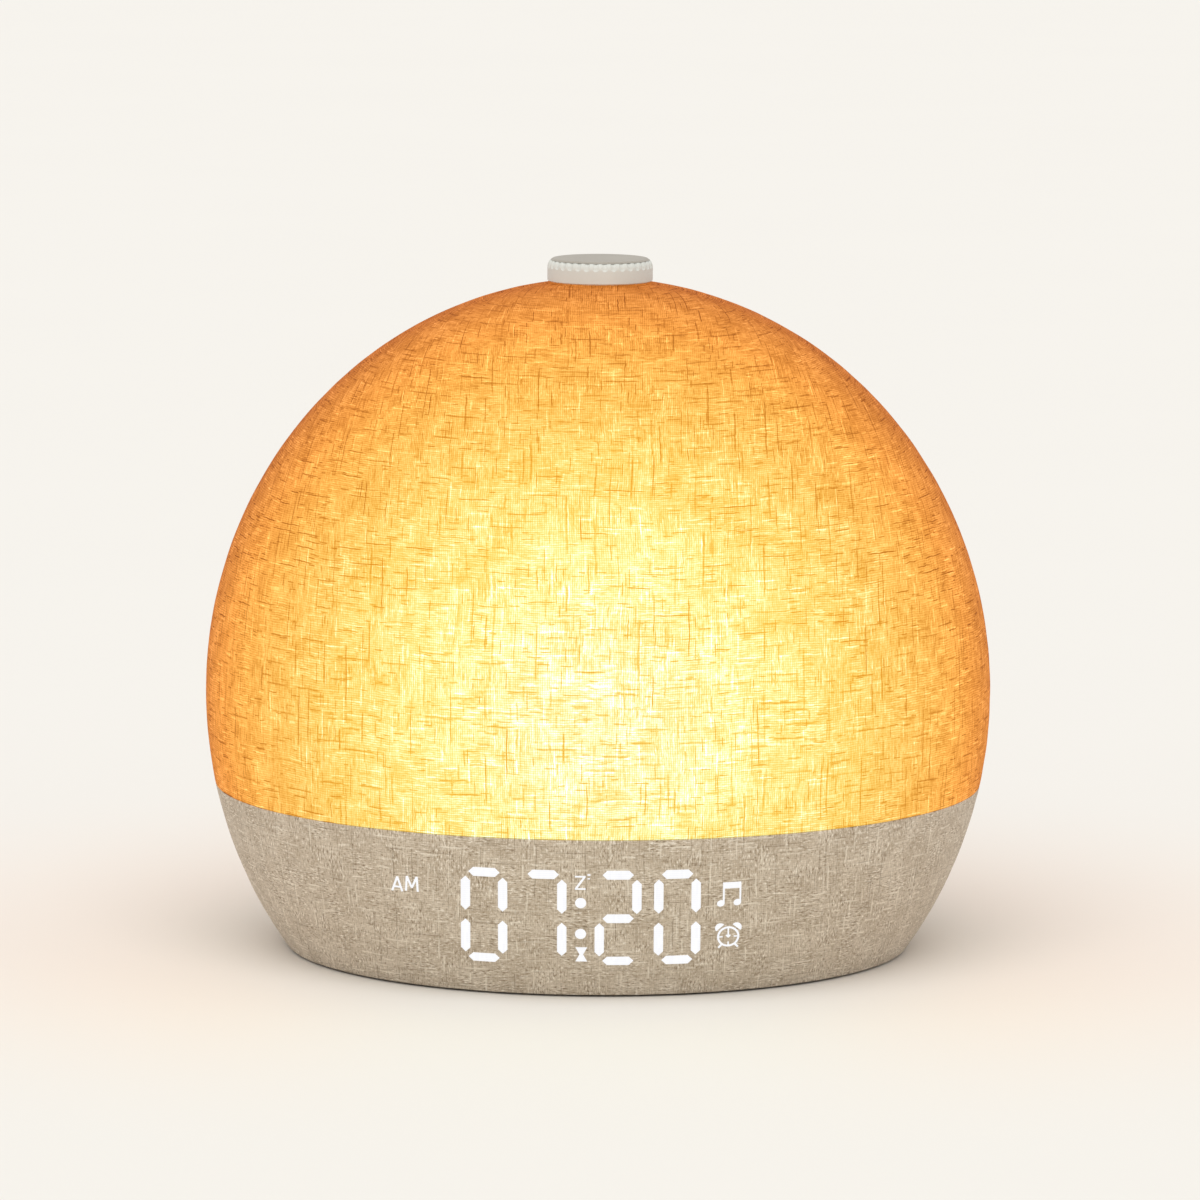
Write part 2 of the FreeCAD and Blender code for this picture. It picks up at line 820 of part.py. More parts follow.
def knob_collar():
    """Ring inside the knob's skirt: it holds down the cloth's edge and closes the knob's gap."""
    lip_outer = knob_inner - loose
    lip_inner = lip_outer - lip_thickness
    lip_top_z = skin_height(knob_radius) + lip_rise
    floor = skin_height(seat_radius) + 0.7
    rest_offset = -glue_gap
    inner = seat_radius + ease
    heights = [skin_height(r, rest_offset) for r in (lip_outer, inner)]
    under = ellipse_edge(
        body_radius - rest_offset,
        dome_rise - rest_offset,
        equator_height,
        math.asin((heights[0] - equator_height) / (dome_rise - rest_offset)),
        math.asin((heights[1] - equator_height) / (dome_rise - rest_offset)),
    )
    corners = [
        V(inner, 0, heights[1]),
        V(inner, 0, seat_height + slip),
        V(sleeve_radius, 0, seat_height + slip),
        V(sleeve_radius, 0, pad_bottom),
        V(sleeve_bore, 0, pad_bottom),
        V(sleeve_bore, 0, floor),
        V(lip_inner, 0, floor),
        V(lip_inner, 0, lip_top_z),
        V(lip_outer, 0, lip_top_z),
        V(lip_outer, 0, heights[0]),
    ]
    return turned([under] + [line(a, b) for a, b in zip(corners, corners[1:])])


def encoder_shaft():
    """Shaft with a flat for the knob above and for the rotor below, and a shoulder under the rotor."""
    shaft = disc(shaft_radius, shaft_bottom, shaft_top)
    shoulder = disc(shoulder_radius, shoulder_top - shoulder_height, shoulder_top)
    flats = [
        box((-9, 9), (shaft_flat, 9), (hub_bottom - 0.4, shaft_top + 1)),
        box((-9, 9), (shaft_flat, 9), (shoulder_top, rotor_top + press_travel + loose)),
    ]
    return shaft.fuse(shoulder).removeSplitter().cut(flats)


def encoder_rotor():
    """Contact disc that the shaft turns and slides through."""
    rotor = disc(rotor_radius, rotor_top - rotor_height, rotor_top)
    return rotor.cut(d_bar(shaft_radius + slip, shaft_flat + slip, 0, rotor_top + 1))


def encoder_case():
    """Square metal case with a round cavity and a plain bushing."""
    half = encoder_side / 2
    body = box((-half, half), (-half, half), (encoder_bottom, encoder_top))
    body = body.fuse(disc(bushing_radius, encoder_top, bushing_top)).removeSplitter()
    floor = encoder_bottom + cavity_floor
    holes = [disc(cavity_radius, floor, floor + cavity_height), disc(shaft_radius + slip, floor, bushing_top + 1)]
    return body.cut(holes)


def push_dome():
    """Thin snap dome under the shaft, which clicks when the knob is pressed."""
    base = encoder_bottom + cavity_floor + 0.02
    top = base + snap_height
    flat = snap_radius * 0.35
    return turned_outline([
        (snap_radius, base),
        (snap_radius, base + snap_wall),
        (flat, top),
        (0, top),
        (0, top - snap_wall),
        (flat, top - snap_wall),
        (snap_radius - 2 * snap_wall, base),
    ])


def encoder_board():
    board = disc(encoder_board_radius, encoder_board_bottom, encoder_board_bottom + board_thickness)
    holes = []
    for angle in encoder_post_angles:
        spot = around(encoder_post_circle, angle)
        holes.append(disc(m2_radius + ease, 0, encoder_bottom, spot.x, spot.y))
    return board.cut(holes)


def encoder_screws():
    spots = [around(encoder_post_circle, a) for a in encoder_post_angles]
    head = encoder_board_bottom - slip
    return [m2_screw(V(s.x, s.y, head), UP, board_thickness + thread_depth - 1) for s in spots]


# Display
def digit_lefts():
    """Left edge of each of the four digits."""
    spread = digit_pitch + colon_room
    middle = digits_middle_x - digit_width / 2
    return [middle + s for s in (-spread / 2 - digit_pitch, -spread / 2, spread / 2, spread / 2 + digit_pitch)]


def bar(x, z, across):
    """Six-sided bar with pointed ends: (low, high) pairs, and its points across X or along Z."""
    tip = bar_width / 2
    if across:
        mid = (z[0] + z[1]) / 2
        return [
            (x[0], mid), (x[0] + tip, z[0]), (x[1] - tip, z[0]),
            (x[1], mid), (x[1] - tip, z[1]), (x[0] + tip, z[1]),
        ]
    mid = (x[0] + x[1]) / 2
    return [
        (mid, z[0]), (x[1], z[0] + tip), (x[1], z[1] - tip),
        (mid, z[1]), (x[0], z[1] - tip), (x[0], z[0] + tip),
    ]


def digit_bars(left):
    """The seven bars of one digit, as (x, z) outlines."""
    right = left + digit_width
    low, high = digit_middle - digit_height / 2, digit_middle + digit_height / 2
    half = bar_width / 2
    bars = []
    for z in (low + half, digit_middle, high - half):
        bars.append(bar((left + bar_side_gap, right - bar_side_gap), (z - half, z + half), True))
    for x in (left, right - bar_width):
        bars.append(bar((x, x + bar_width), (low + bar_end_gap, digit_middle - bar_middle_gap), False))
        bars.append(bar((x, x + bar_width), (digit_middle + bar_middle_gap, high - bar_end_gap), False))
    return bars


def light_wells(grow):
    """Every lit shape of the display as a prism towards the front, grown on each side."""
    y = front_span
    wells = []
    for left in digit_lefts():
        for outline in digit_bars(left):
            cx = sum(p[0] for p in outline) / len(outline)
            cz = sum(p[1] for p in outline) / len(outline)
            half_x = max(p[0] for p in outline) - cx
            half_z = max(p[1] for p in outline) - cz
            wider, taller = 1 + grow / half_x, 1 + grow / half_z
            grown = [(cx + (px - cx) * wider, cz + (pz - cz) * taller) for px, pz in outline]
            wells.append(prism(grown, y))
    for side in (-1, 1):
        centre = V(digits_middle_x, y[0], digit_middle + side * dot_spread)
        wells.append(Part.makeCylinder(dot_radius + grow, y[1] - y[0], centre, BACK))
    for x, z, width, height in sign_windows:
        half_x, half_z = width / 2 + grow, height / 2 + grow
        wells.append(box((x - half_x, x + half_x), y, (z - half_z, z + half_z)))
    return wells


def display_light_box():
    """White block of light wells in the housing's window, with a flange inside the wall."""
    z = (display_bottom - display_flange, display_top + display_flange)
    block = skin_shell(box_outer, box_inner, *z).common(display_window(0.0))
    flange = skin_shell(housing_inner + slip, housing_inner + slip + flange_thickness, *z)
    flange = flange.common(display_window(display_flange))
    return block.fuse(flange).removeSplitter().cut(light_wells(0.0))


def display_segments():
    """Frosted light guides that fill the wells up to the film."""
    z = (display_bottom, display_top)
    layer = skin_shell(box_outer, box_inner - guide_gap, *z)
    return [solid for well in light_wells(-slip) for solid in layer.common(well).Solids]


def display_film():
    """Thin mask between the light box and the cloth."""
    layer = skin_shell(cloth_inner, cloth_inner + film_thickness, display_bottom, display_top)
    return layer.common(display_window(0.0))


def display_board():
    """Flexible board on the back of the light box."""
    z = (display_bottom - display_flange, display_top + display_flange)
    layer = skin_shell(flex_outer, flex_outer + flex_thickness, *z)
    return layer.common(display_window(display_flange))


def display_leds():
    """One chip for each well, flat on the curved board."""
    chips = []
    semi_r, semi_z = body_radius - box_inner, belly_drop - box_inner
    half = chip_side / 2
    for well in light_wells(0.0):
        centre = well.BoundBox.Center
        y = -math.sqrt(skin_radius(centre.z, box_inner) ** 2 - centre.x**2)
        outward = V(centre.x / semi_r**2, y / semi_r**2, (centre.z - equator_height) / semi_z**2).normalize()
        chip = box((-half, half), (-half, half), (slip, slip + chip_height))
        chip.Placement = FreeCAD.Placement(V(centre.x, y, centre.z), FreeCAD.Rotation(UP, outward))
        chips.append(chip)
    return chips


# Rear panel
def button_xs():
    return [button_pitch * (n - 1.5) for n in range(4)]


def button_outline(x, grow, y):
    """Long round button shape, between two Y values."""
    half_x, half_z = button_length / 2 + grow, button_width / 2 + grow
    return plate((x - half_x, x + half_x), (button_height - half_z, button_height + half_z), half_z - 0.01, y)


def inlet_outline(grow, y):
    half_x, half_z = inlet_width / 2 + grow, inlet_depth / 2 + grow
    return plate((-half_x, half_x), (inlet_height - half_z, inlet_height + half_z), half_z - 0.01, y)


def panel_posts():
    return [(-panel_post_x, panel_post_z), (panel_post_x, panel_post_z)]


def rear_panel():
    """Curved panel in the base's rear opening, with a flange inside the wall and two board posts."""
    z = (panel_bottom - panel_flange, panel_top + panel_flange)
    face = skin_shell(-panel_proud, panel_inner + flange_thickness, *z).common(rear_window(0.0))
    flange = skin_shell(panel_inner, panel_inner + flange_thickness, *z).common(rear_window(panel_flange))
    parts = [face, flange]
    for x, post_z in panel_posts():
        outer = math.sqrt(skin_radius(post_z, panel_inner) ** 2 - x**2)
        parts.append(rod(panel_post_radius, V(x, rear_board_y + slip, post_z), V(x, outer, post_z)))
    panel = joined(parts)
    holes = [button_outline(x, loose, back_span) for x in button_xs()]
    holes.append(inlet_outline(inlet_wall + ease, back_span))
    for x, post_z in panel_posts():
        holes.append(rod(m2_radius + slip, V(x, back_span[0], post_z), V(x, rear_board_y + 4.6, post_z)))
    return panel.cut(holes)


def rear_button(index):
    """Button cap with a retaining shoulder inside the panel, and a stem to its switch."""
    x = button_xs()[index]
    z = (panel_bottom, panel_top)
    inside = panel_inner + flange_thickness + loose
    cap = skin_shell(-button_proud, inside + 1.0, *z).common(button_outline(x, 0.0, back_span))
    shoulder = skin_shell(inside, inside + 1.0, *z).common(button_outline(x, button_flange, back_span))
    root = math.sqrt(skin_radius(button_height, inside + 0.5) ** 2 - x**2)
    stem = rod(button_stem_radius, V(x, plunger_tip_y + slip, button_height), V(x, root, button_height))
    return joined([cap, shoulder, stem])


def switch_plunger(index):
    x = button_xs()[index]
    start = V(x, rear_board_y + tact_height - 0.6, button_height)
    return rod(plunger_radius, start, V(x, plunger_tip_y, button_height))


def tact_switches():
    """Four switch bodies, each with a well for its plunger."""
    bodies = []
    half = tact_side / 2
    for x in button_xs():
        body = box((x - half, x + half), (rear_board_y + slip, rear_board_y + tact_height),
                   (button_height - half, button_height + half))
        well = rod(plunger_radius + slip, V(x, rear_board_y + tact_height - 1.5, button_height),
                   V(x, rear_board_y + tact_height + 1, button_height))
        bodies.append(body.cut(well))
    return bodies


def rear_board():
    """Upright board behind the rear panel."""
    reach = panel_post_x + panel_post_radius
    z = (inlet_height - 3.4, button_height + tact_side / 2 + 1.0)
    board = box((-reach, reach), (rear_board_front, rear_board_y), z)
    holes = [rod(m2_radius + ease, V(x, 0, post_z), V(x, beyond, post_z)) for x, post_z in panel_posts()]
    return board.cut(holes)


def rear_board_screws():
    return [
        m2_screw(V(x, rear_board_front - slip, z), BACK, board_thickness + 4.0) for x, z in panel_posts()
    ]


def usb_receptacle():
    """Steel shell of the power inlet, from the rear board to just inside the panel's face."""
    mouth = skin_radius(inlet_height) - 0.6
    y = (rear_board_y + slip, mouth)
    shell = inlet_outline(inlet_wall, y)
    return shell.cut(inlet_outline(0.0, (y[0] + 1.2, mouth + 1)))


def usb_tongue():
    """Contact tongue in the inlet."""
    start = rear_board_y + slip + 1.2 + slip
    end = skin_radius(inlet_height) - 1.6
    half_x, half_z = tongue_width / 2, tongue_thickness / 2
    return box((-half_x, half_x), (start, end), (inlet_height - half_z, inlet_height + half_z))


# Speaker
def speaker_gasket():
    return ring(speaker_radius, basket_mouth, cover_top + glue_gap, gasket_top - glue_gap)


def speaker_basket():
    """Steel basket: flange below, open cone, and the magnet's seat above."""
    low, step = gasket_top, gasket_top + basket_flange
    top = basket_top
    return turned_outline([
        (basket_mouth, low),
        (speaker_radius, low),
        (speaker_radius, step),
        (speaker_radius - 1.8, step),
        (magnet_radius - 0.8, top - basket_wall),
        (magnet_radius - 0.8, top),
        (pole_radius + coil_gap + 1.2, top),
        (pole_radius + coil_gap + 1.2, top - basket_wall),
        (magnet_radius - 2.0, top - basket_wall),
        (speaker_radius - 3.0, step),
        (basket_mouth, step),
    ])


def speaker_magnet():
    """Magnet and yoke, with the gap that the coil moves in."""
    top = magnet_bottom + magnet_height
    gap = ring(pole_radius + coil_gap, pole_radius, magnet_bottom - 1, top - 2.0)
    return disc(magnet_radius, magnet_bottom, top).cut(gap)


def speaker_cone():
    """Cone, dust cap and coil former in one piece."""
    rim = cone_rim_bottom
    former_inner = pole_radius + coil_gap / 2 - 0.2
    former_outer = pole_radius + coil_gap / 2 + 0.2
    neck = rim + 4.0
    return turned_outline([
        (cone_rim_radius - 1.0, rim),
        (cone_rim_radius, rim),
        (cone_rim_radius, rim + cone_wall),
        (cone_rim_radius - 1.0, rim + cone_wall),
        (former_outer, neck + cone_wall),
        (former_outer, magnet_bottom + magnet_height - 2.0 - 2 * cone_travel),
        (former_inner, magnet_bottom + magnet_height - 2.0 - 2 * cone_travel),
        (former_inner, neck + cone_wall),
        (former_inner * 0.6, neck - 0.9 + cone_wall),
        (0, neck - 1.4 + cone_wall),
        (0, neck - 1.4),
        (former_inner * 0.6, neck - 0.9),
        (former_inner, neck),
        (former_outer, neck),
    ])


def speaker_surround():
    """Rubber half roll between the cone's rim and the basket."""
    low = surround_bottom
    high = low + surround_thickness
    inner, outer = cone_rim_radius + 0.1, cone_rim_radius + 1.4
    middle = (inner + outer) / 2
    roll = (outer - inner) / 2
    under = Part.Arc(V(inner, 0, low), V(middle, 0, low - roll), V(outer, 0, low)).toShape()
    over_roll = roll - 0.3
    over_ends = V(middle + over_roll, 0, high), V(middle - over_roll, 0, high)
    over = Part.Arc(over_ends[0], V(middle, 0, high - over_roll), over_ends[1]).toShape()
    far_in, far_out = cone_rim_radius - 1.0, speaker_radius - 3.8
    corners_in = [V(middle - over_roll, 0, high), V(far_in, 0, high), V(far_in, 0, low), V(inner, 0, low)]
    corners_out = [V(outer, 0, low), V(far_out, 0, low), V(far_out, 0, high), V(middle + over_roll, 0, high)]
    edges = [under, over]
    for corners in (corners_in, corners_out):
        edges += [line(a, b) for a, b in zip(corners, corners[1:])]
    return turned(edges)


# Backup cell
def cell_bay_top():
    return cover_bottom + door_thickness + slip + cell_thickness + 1.8


def door_blank(grow, z_low, z_high):
    """Outline of the cell's door: a disc with a screw tab."""
    radius = cell_radius + loose + door_ledge + grow
    tab_y = cell_y - door_tab_reach
    tab = disc(door_tab_radius + grow, z_low, z_high, cell_x, tab_y)
    half = door_tab_radius + grow
    neck = box((cell_x - half, cell_x + half), (tab_y, cell_y), (z_low, z_high))
    return joined([disc(radius, z_low, z_high, cell_x, cell_y), tab, neck])


def battery_door():
    """Door over the coin cell, held by one screw, with a finger groove."""
    top = cover_bottom + door_thickness
    door = door_blank(0.0, cover_bottom, top)
    groove = box((cell_x - 6, cell_x + 6), (cell_y + 6, cell_y + 7.2), (0, cover_bottom + 0.5))
    tab_y = cell_y - door_tab_reach
    hole = disc(m2_radius + ease, 0, top + 1, cell_x, tab_y)
    sink = disc(m2_head_radius + ease, 0, cover_bottom + 0.7, cell_x, tab_y)
    return door.cut([groove, hole, sink])


def battery_door_screw():
    head = V(cell_x, cell_y - door_tab_reach, cover_bottom + 0.7 - slip)
    return screw(head, UP, m2_radius, m2_head_radius, 0.65, 5.0)


def backup_battery():
    low = cover_bottom + door_thickness + 2 * slip
    cell = disc(cell_radius, low, low + cell_thickness, cell_x, cell_y)
    return cell.makeFillet(0.3, [e for e in cell.Edges if e.Closed])


def battery_contact():
    """Sprung plate above the cell."""
    top = cell_bay_top() - slip
    low = cover_bottom + door_thickness + cell_thickness + 3 * slip
    plate_part = disc(cell_radius - 2.0, top - contact_thickness, top, cell_x, cell_y)
    leaf = disc(2.5, low, top - contact_thickness, cell_x, cell_y)
    return plate_part.fuse(leaf).removeSplitter()


# Main board
def board_screw_spots():
    xs = (-board_half_width + standoff_inset, board_half_width - standoff_inset)
    return [(x, y) for x in xs for y in (board_front + standoff_inset, board_back - standoff_inset)]


def main_board():
    board = box((-board_half_width, board_half_width), (board_front, board_back), (board_bottom, board_top))
    return board.cut([disc(m2_radius + ease, 0, 50, x, y) for x, y in board_screw_spots()])


def main_board_parts():
    """Radio module, chips, coils, capacitors and sockets on the main board."""
    low = board_top + slip
    y0 = board_front
    shapes = [
        box((-19, -3), (y0 + 13, y0 + 31), (low, low + 2.6)),
        box((2, 9), (y0 + 14, y0 + 21), (low, low + 1.2)),
        box((12, 18), (y0 + 14, y0 + 20), (low, low + 1.4)),
        box((2, 8), (y0 + 25, y0 + 31), (low, low + 3.0)),
    ]
    for x in (13.0, 20.5):
        shapes.append(disc(2.9, low, low + 6.5, x, y0 + 27))
    for x in socket_xs():
        shapes.append(box((x - 3.4, x + 3.4), (y0 + 3, y0 + 8), (low, low + socket_height())))
    return shapes


def socket_height():
    return 3.2


def socket_xs():
    """Middle of each cable socket on the main board: speaker, encoder, display, LED board."""
    return (-11.0, 0.0, display_ribbon_x, led_wire_x())


def board_screws():
    return [m2_screw(V(x, y, board_top + slip), DOWN, board_thickness + 3.4) for x, y in board_screw_spots()]


# Ribbons and wires
def strip(points, bend, x_middle, width, thickness):
    """Flat ribbon along straight runs joined by round bends in a plane across X: (y, z) points."""
    halves = []
    for side in (-0.5, 0.5):
        halves.append(offset_route(points, bend, side * thickness))
    ends = [
        (halves[0][0], halves[1][0]),
        (halves[0][-1], halves[1][-1]),
    ]
    edges = route_edges(halves[0]) + route_edges(halves[1])
    edges += [line(V(0, a[0], a[1]), V(0, b[0], b[1])) for a, b in ends]
    face = Part.Face(Part.Wire(Part.__sortEdges__(edges)))
    shape = face.extrude(V(width, 0, 0))
    shape.translate(V(x_middle - width / 2, 0, 0))
    return shape


def offset_route(points, bend, shift):
    """Route moved sideways: its ends, and for each corner the bend's start, middle and end."""
    route = []
    for i, here in enumerate(points):
        before = unit(points[i - 1], here) if i else unit(here, points[1])
        after = unit(here, points[i + 1]) if i + 1 < len(points) else before
        normal_in = (-before[1], before[0])
        if i == 0 or i + 1 == len(points):
            route.append((here[0] + normal_in[0] * shift, here[1] + normal_in[1] * shift))
            continue
        turn = before[0] * after[1] - before[1] * after[0]
        half = math.acos(max(-1.0, min(1.0, before[0] * after[0] + before[1] * after[1]))) / 2
        side = 1 if turn > 0 else -1
        set_back = bend * math.tan(half)
        start = (here[0] - before[0] * set_back, here[1] - before[1] * set_back)
        centre = (start[0] + normal_in[0] * side * bend, start[1] + normal_in[1] * side * bend)
        radius = bend - side * shift
        first = math.atan2(start[1] - centre[1], start[0] - centre[0])
        for share in (0.0, 0.5, 1.0):
            angle = first + side * 2 * half * share
            route.append((centre[0] + radius * math.cos(angle), centre[1] + radius * math.sin(angle)))
    return route


def unit(a, b):
    length = math.hypot(b[0] - a[0], b[1] - a[1])
    return ((b[0] - a[0]) / length, (b[1] - a[1]) / length)


def route_edges(route):
    """Lines and arcs through a route from offset_route."""
    spots = [V(0, y, z) for y, z in route]
    edges = [line(spots[0], spots[1])]
    for i in range(1, len(spots) - 1, 3):
        edges.append(Part.Arc(*spots[i:i + 3]).toShape())
        edges.append(line(spots[i + 2], spots[i + 3]))
    return edges


def round_wire(points, bend, x, radius):
    """Round wire along straight runs joined by round bends in a plane across X: (y, z) points."""
    route = route_edges(offset_route(points, bend, 0.0))
    wire = Part.Wire(Part.__sortEdges__(route))
    wire.translate(V(x, 0, 0))
    start = V(x, points[0][0], points[0][1])
    along = unit(points[0], points[1])
    circle = Part.Wire(Part.Circle(start, V(0, along[0], along[1]), radius).toShape())
    return wire.makePipeShell([circle], True, False)


def socket_top():
    return board_top + slip + socket_height() + slip


def encoder_ribbon():
    """From the encoder board down the column, over the speaker, to the main board's middle socket."""
    over_speaker = magnet_bottom + magnet_height + 4.0
    end_y = board_front + 5.5
    points = [(0.0, encoder_board_bottom - slip), (0.0, over_speaker), (end_y, over_speaker), (end_y, socket_top())]
    return strip(points, ribbon_bend, 0.0, ribbon_width, ribbon_thickness)


def display_ribbon():
    """From the display's board, over the speaker, to the main board."""
    x = display_ribbon_x
    z = digit_middle
    start = loose - math.sqrt(skin_radius(z, flex_outer + flex_thickness) ** 2 - (x + ribbon_width / 2) ** 2)
    run = magnet_bottom + magnet_height + 4.0
    end_y = board_front + 5.5
    points = [(start, z), (start + 8.0, z), (start + 14.0, run), (end_y, run), (end_y, socket_top())]
    return strip(points, ribbon_bend, x, ribbon_width, ribbon_thickness)


def led_wires():
    """Two wires from the LED board through the deck to the main board."""
    wires = []
    run = magnet_bottom + magnet_height + 4.0
    end_y = board_front + 5.5
    for side in (-0.5, 0.5):
        x = led_wire_x() + side * wire_pitch
        points = [(0.0, led_board_top + 1.0), (0.0, run), (end_y, run), (end_y, socket_top())]
        wires.append(round_wire(points, ribbon_bend, x, wire_radius))
    return wires


def speaker_wires():
    """Two wires from the speaker's basket to the main board's left socket."""
    wires = []
    start_y = magnet_radius * 0.5
    top = magnet_bottom + magnet_height
    end_y = board_front + 5.5
    for side in (-0.5, 0.5):
        x = socket_xs()[0] + side * wire_pitch
        z = top + wire_radius + 1.2
        points = [(start_y, top + slip), (start_y, z + 2.0), (end_y, z + 2.0), (end_y, socket_top())]
        wires.append(round_wire(points, 2.0, x, wire_radius))
    return wires


def pieces():
    """Every piece by the name of its node."""
    made = {
        "dome_fabric": dome_fabric(),
        "base_fabric": base_fabric(),
        "dome_diffuser": dome_diffuser(),
        "base_housing": base_housing(),
        "bottom_cover": bottom_cover(),
        "foot_ring": foot_ring(),
        "cover_screws": cover_screws(),
        "dome_screws": dome_screws(),
        "deck_screws": deck_screws(),
        "light_deck": light_deck(),
        "led_heat_plate": led_heat_plate(),
        "led_board": led_board(),
        "led_chips": led_chips(),
        "back_reflector": back_reflector(),
        "cable_column": cable_column(),
        "column_screws": column_screws(),
        "knob": knob(),
        "knob_cap": knob_cap(),
        "knob_collar": knob_collar(),
        "encoder_shaft": encoder_shaft(),
        "encoder_rotor": encoder_rotor(),
        "encoder_case": encoder_case(),
        "push_dome": push_dome(),
        "encoder_board": encoder_board(),
        "encoder_screws": encoder_screws(),
        "display_light_box": display_light_box(),
        "display_segments": display_segments(),
        "display_film": display_film(),
        "display_board": display_board(),
        "display_leds": display_leds(),
        "rear_panel": rear_panel(),
        "tact_switches": tact_switches(),
        "rear_board": rear_board(),
        "rear_board_screws": rear_board_screws(),
        "usb_receptacle": usb_receptacle(),
        "usb_tongue": usb_tongue(),
        "speaker_gasket": speaker_gasket(),
        "speaker_basket": speaker_basket(),
        "speaker_magnet": speaker_magnet(),
        "speaker_cone": speaker_cone(),
        "speaker_surround": speaker_surround(),
        "battery_door": battery_door(),
        "battery_door_screw": battery_door_screw(),
        "backup_battery": backup_battery(),
        "battery_contact": battery_contact(),
        "main_board": main_board(),
        "main_board_parts": main_board_parts(),
        "board_screws": board_screws(),
        "encoder_ribbon": encoder_ribbon(),
        "display_ribbon": display_ribbon(),
        "led_wires": led_wires(),
        "speaker_wires": speaker_wires(),
    }
    for index, name in enumerate(("set", "alarm", "down", "up")):
        made[f"{name}_button"] = rear_button(index)
        made[f"{name}_plunger"] = switch_plunger(index)
    return made


def main():
    os.makedirs("parts", exist_ok=True)
    for name, shape in pieces().items():
        group = Part.makeCompound(shape) if isinstance(shape, list) else shape
        group.exportStep(f"parts/{name}.step")


main()
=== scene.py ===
"""Looks of the sunrise alarm clock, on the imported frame. Metres, +Z up, the display faces -Y."""
import json
import math

import bmesh
import bpy
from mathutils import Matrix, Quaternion, Vector, noise

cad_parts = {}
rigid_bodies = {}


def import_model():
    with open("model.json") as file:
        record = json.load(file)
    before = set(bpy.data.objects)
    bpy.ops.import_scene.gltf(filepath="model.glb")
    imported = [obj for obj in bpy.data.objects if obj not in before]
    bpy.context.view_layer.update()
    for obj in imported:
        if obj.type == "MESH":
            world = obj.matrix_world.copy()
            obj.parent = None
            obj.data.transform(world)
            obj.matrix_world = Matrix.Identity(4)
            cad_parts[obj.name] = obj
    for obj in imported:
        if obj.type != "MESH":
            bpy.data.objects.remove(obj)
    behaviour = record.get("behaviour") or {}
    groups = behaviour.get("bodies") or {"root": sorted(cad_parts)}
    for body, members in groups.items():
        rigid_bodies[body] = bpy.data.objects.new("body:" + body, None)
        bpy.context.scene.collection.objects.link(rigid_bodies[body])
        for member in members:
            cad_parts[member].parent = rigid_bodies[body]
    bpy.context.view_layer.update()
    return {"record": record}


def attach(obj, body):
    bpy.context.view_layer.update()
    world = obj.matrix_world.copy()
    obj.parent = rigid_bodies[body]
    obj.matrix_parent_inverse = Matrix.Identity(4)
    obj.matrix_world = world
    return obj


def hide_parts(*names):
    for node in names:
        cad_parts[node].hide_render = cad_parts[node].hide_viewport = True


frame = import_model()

# Outer form, as in the CAD
body_radius = 0.095
equator_height = 0.0622
dome_rise = 0.0998
belly_drop = 0.1013
seam_height = 0.040
seam_gap = 0.0001
edge_height = 0.0005
cloth_thickness = 0.0009
cloth_turn = 0.005
cloth_hole_radius = 0.009
hem_round = 0.0002
panel_half_width = 0.030
panel_bottom = 0.011
panel_top = 0.0315
panel_corner = 0.004
panel_gap = 0.00015

# Cloth meshes
around_steps = 480
dome_rows = 190
band_rows = 76
back_rows = 40
dome_samples = 4000
dome_back_samples = 2000
band_samples = 3000
band_back_samples = 1500
swell = 0.00007
swell_scale = 190.0
swell_bias = 0.6
swell_ease_rows = 4
corner_steps = 8
cutter_near = 0.05
cutter_far = 0.12
tiny_length = 1e-12

# Display
digit_width = 0.0109
digit_height = 0.0240
digit_middle = 0.0206
digit_pitch = 0.0138
colon_room = 0.00365
digits_middle_x = -0.0038
bar_width = 0.0022
bar_side_gap = 0.0018
bar_end_gap = 0.0023
bar_middle_gap = 0.00115
dot_radius = 0.0013
dot_spread = 0.00393
glyph_proud = 0.00006
glyph_depth = 0.00025
glyph_step = 0.0012
glyph_cuts = 6
back_mark = 1.0
shown_digits = ("abcdef", "abc", "abdeg", "abcdef")

# Camera, fitted to the photograph
camera_distance = 2.0
camera_elevation = math.radians(7.51)
camera_roll = math.radians(0.28)
camera_target = Vector((0.00036, 0.0, 0.084))
frame_pixels = 1200
focal_pixels = 8260.4
sensor_width = 36.0
near_limit = 0.1
far_limit = 60.0

# Floor and lights
floor_reach = 14.0
floor_low = (0.80, 0.785, 0.752)
floor_high = (0.81, 0.795, 0.762)
# Warm glow of the lamp, painted on the floor beside the clock
floor_painted_glow_colour = (0.835, 0.775, 0.712)
sky_colour = (1.0, 0.99, 0.975, 1.0)
sky_strength = 0.80
sun_strength = 1.35
sun_angle = math.radians(55)
sun_colour = (1.0, 0.985, 0.96)
sun_direction = (0.06, 0.66, -1.0)

# Cloth threads
mean_radius = (body_radius + dome_rise) / 2
top_limit = 0.999
thread_pitch = 0.00053
thread_run = 0.0030
weft_seed = 11.0
warp_seed = 23.0
slow_drift = (45.0, 0.0016)
quick_drift = (420.0, 0.0004)
fuzz_scale = 2300.0
fuzz_stretch = 0.38

# Slubs of the two thread directions: pitch, length, width, share of the places that have one, seed
dark_slubs = ((0.0016, 0.0120, 0.00036, 0.30, 31.0), (0.0017, 0.0170, 0.00038, 0.28, 37.0))
short_slubs = ((0.0008, 0.0045, 0.00034, 0.22, 41.0), (0.0008, 0.0060, 0.00032, 0.24, 43.0))
light_slubs = ((0.0011, 0.0080, 0.00050, 0.30, 53.0), (0.0013, 0.0090, 0.00050, 0.22, 59.0))

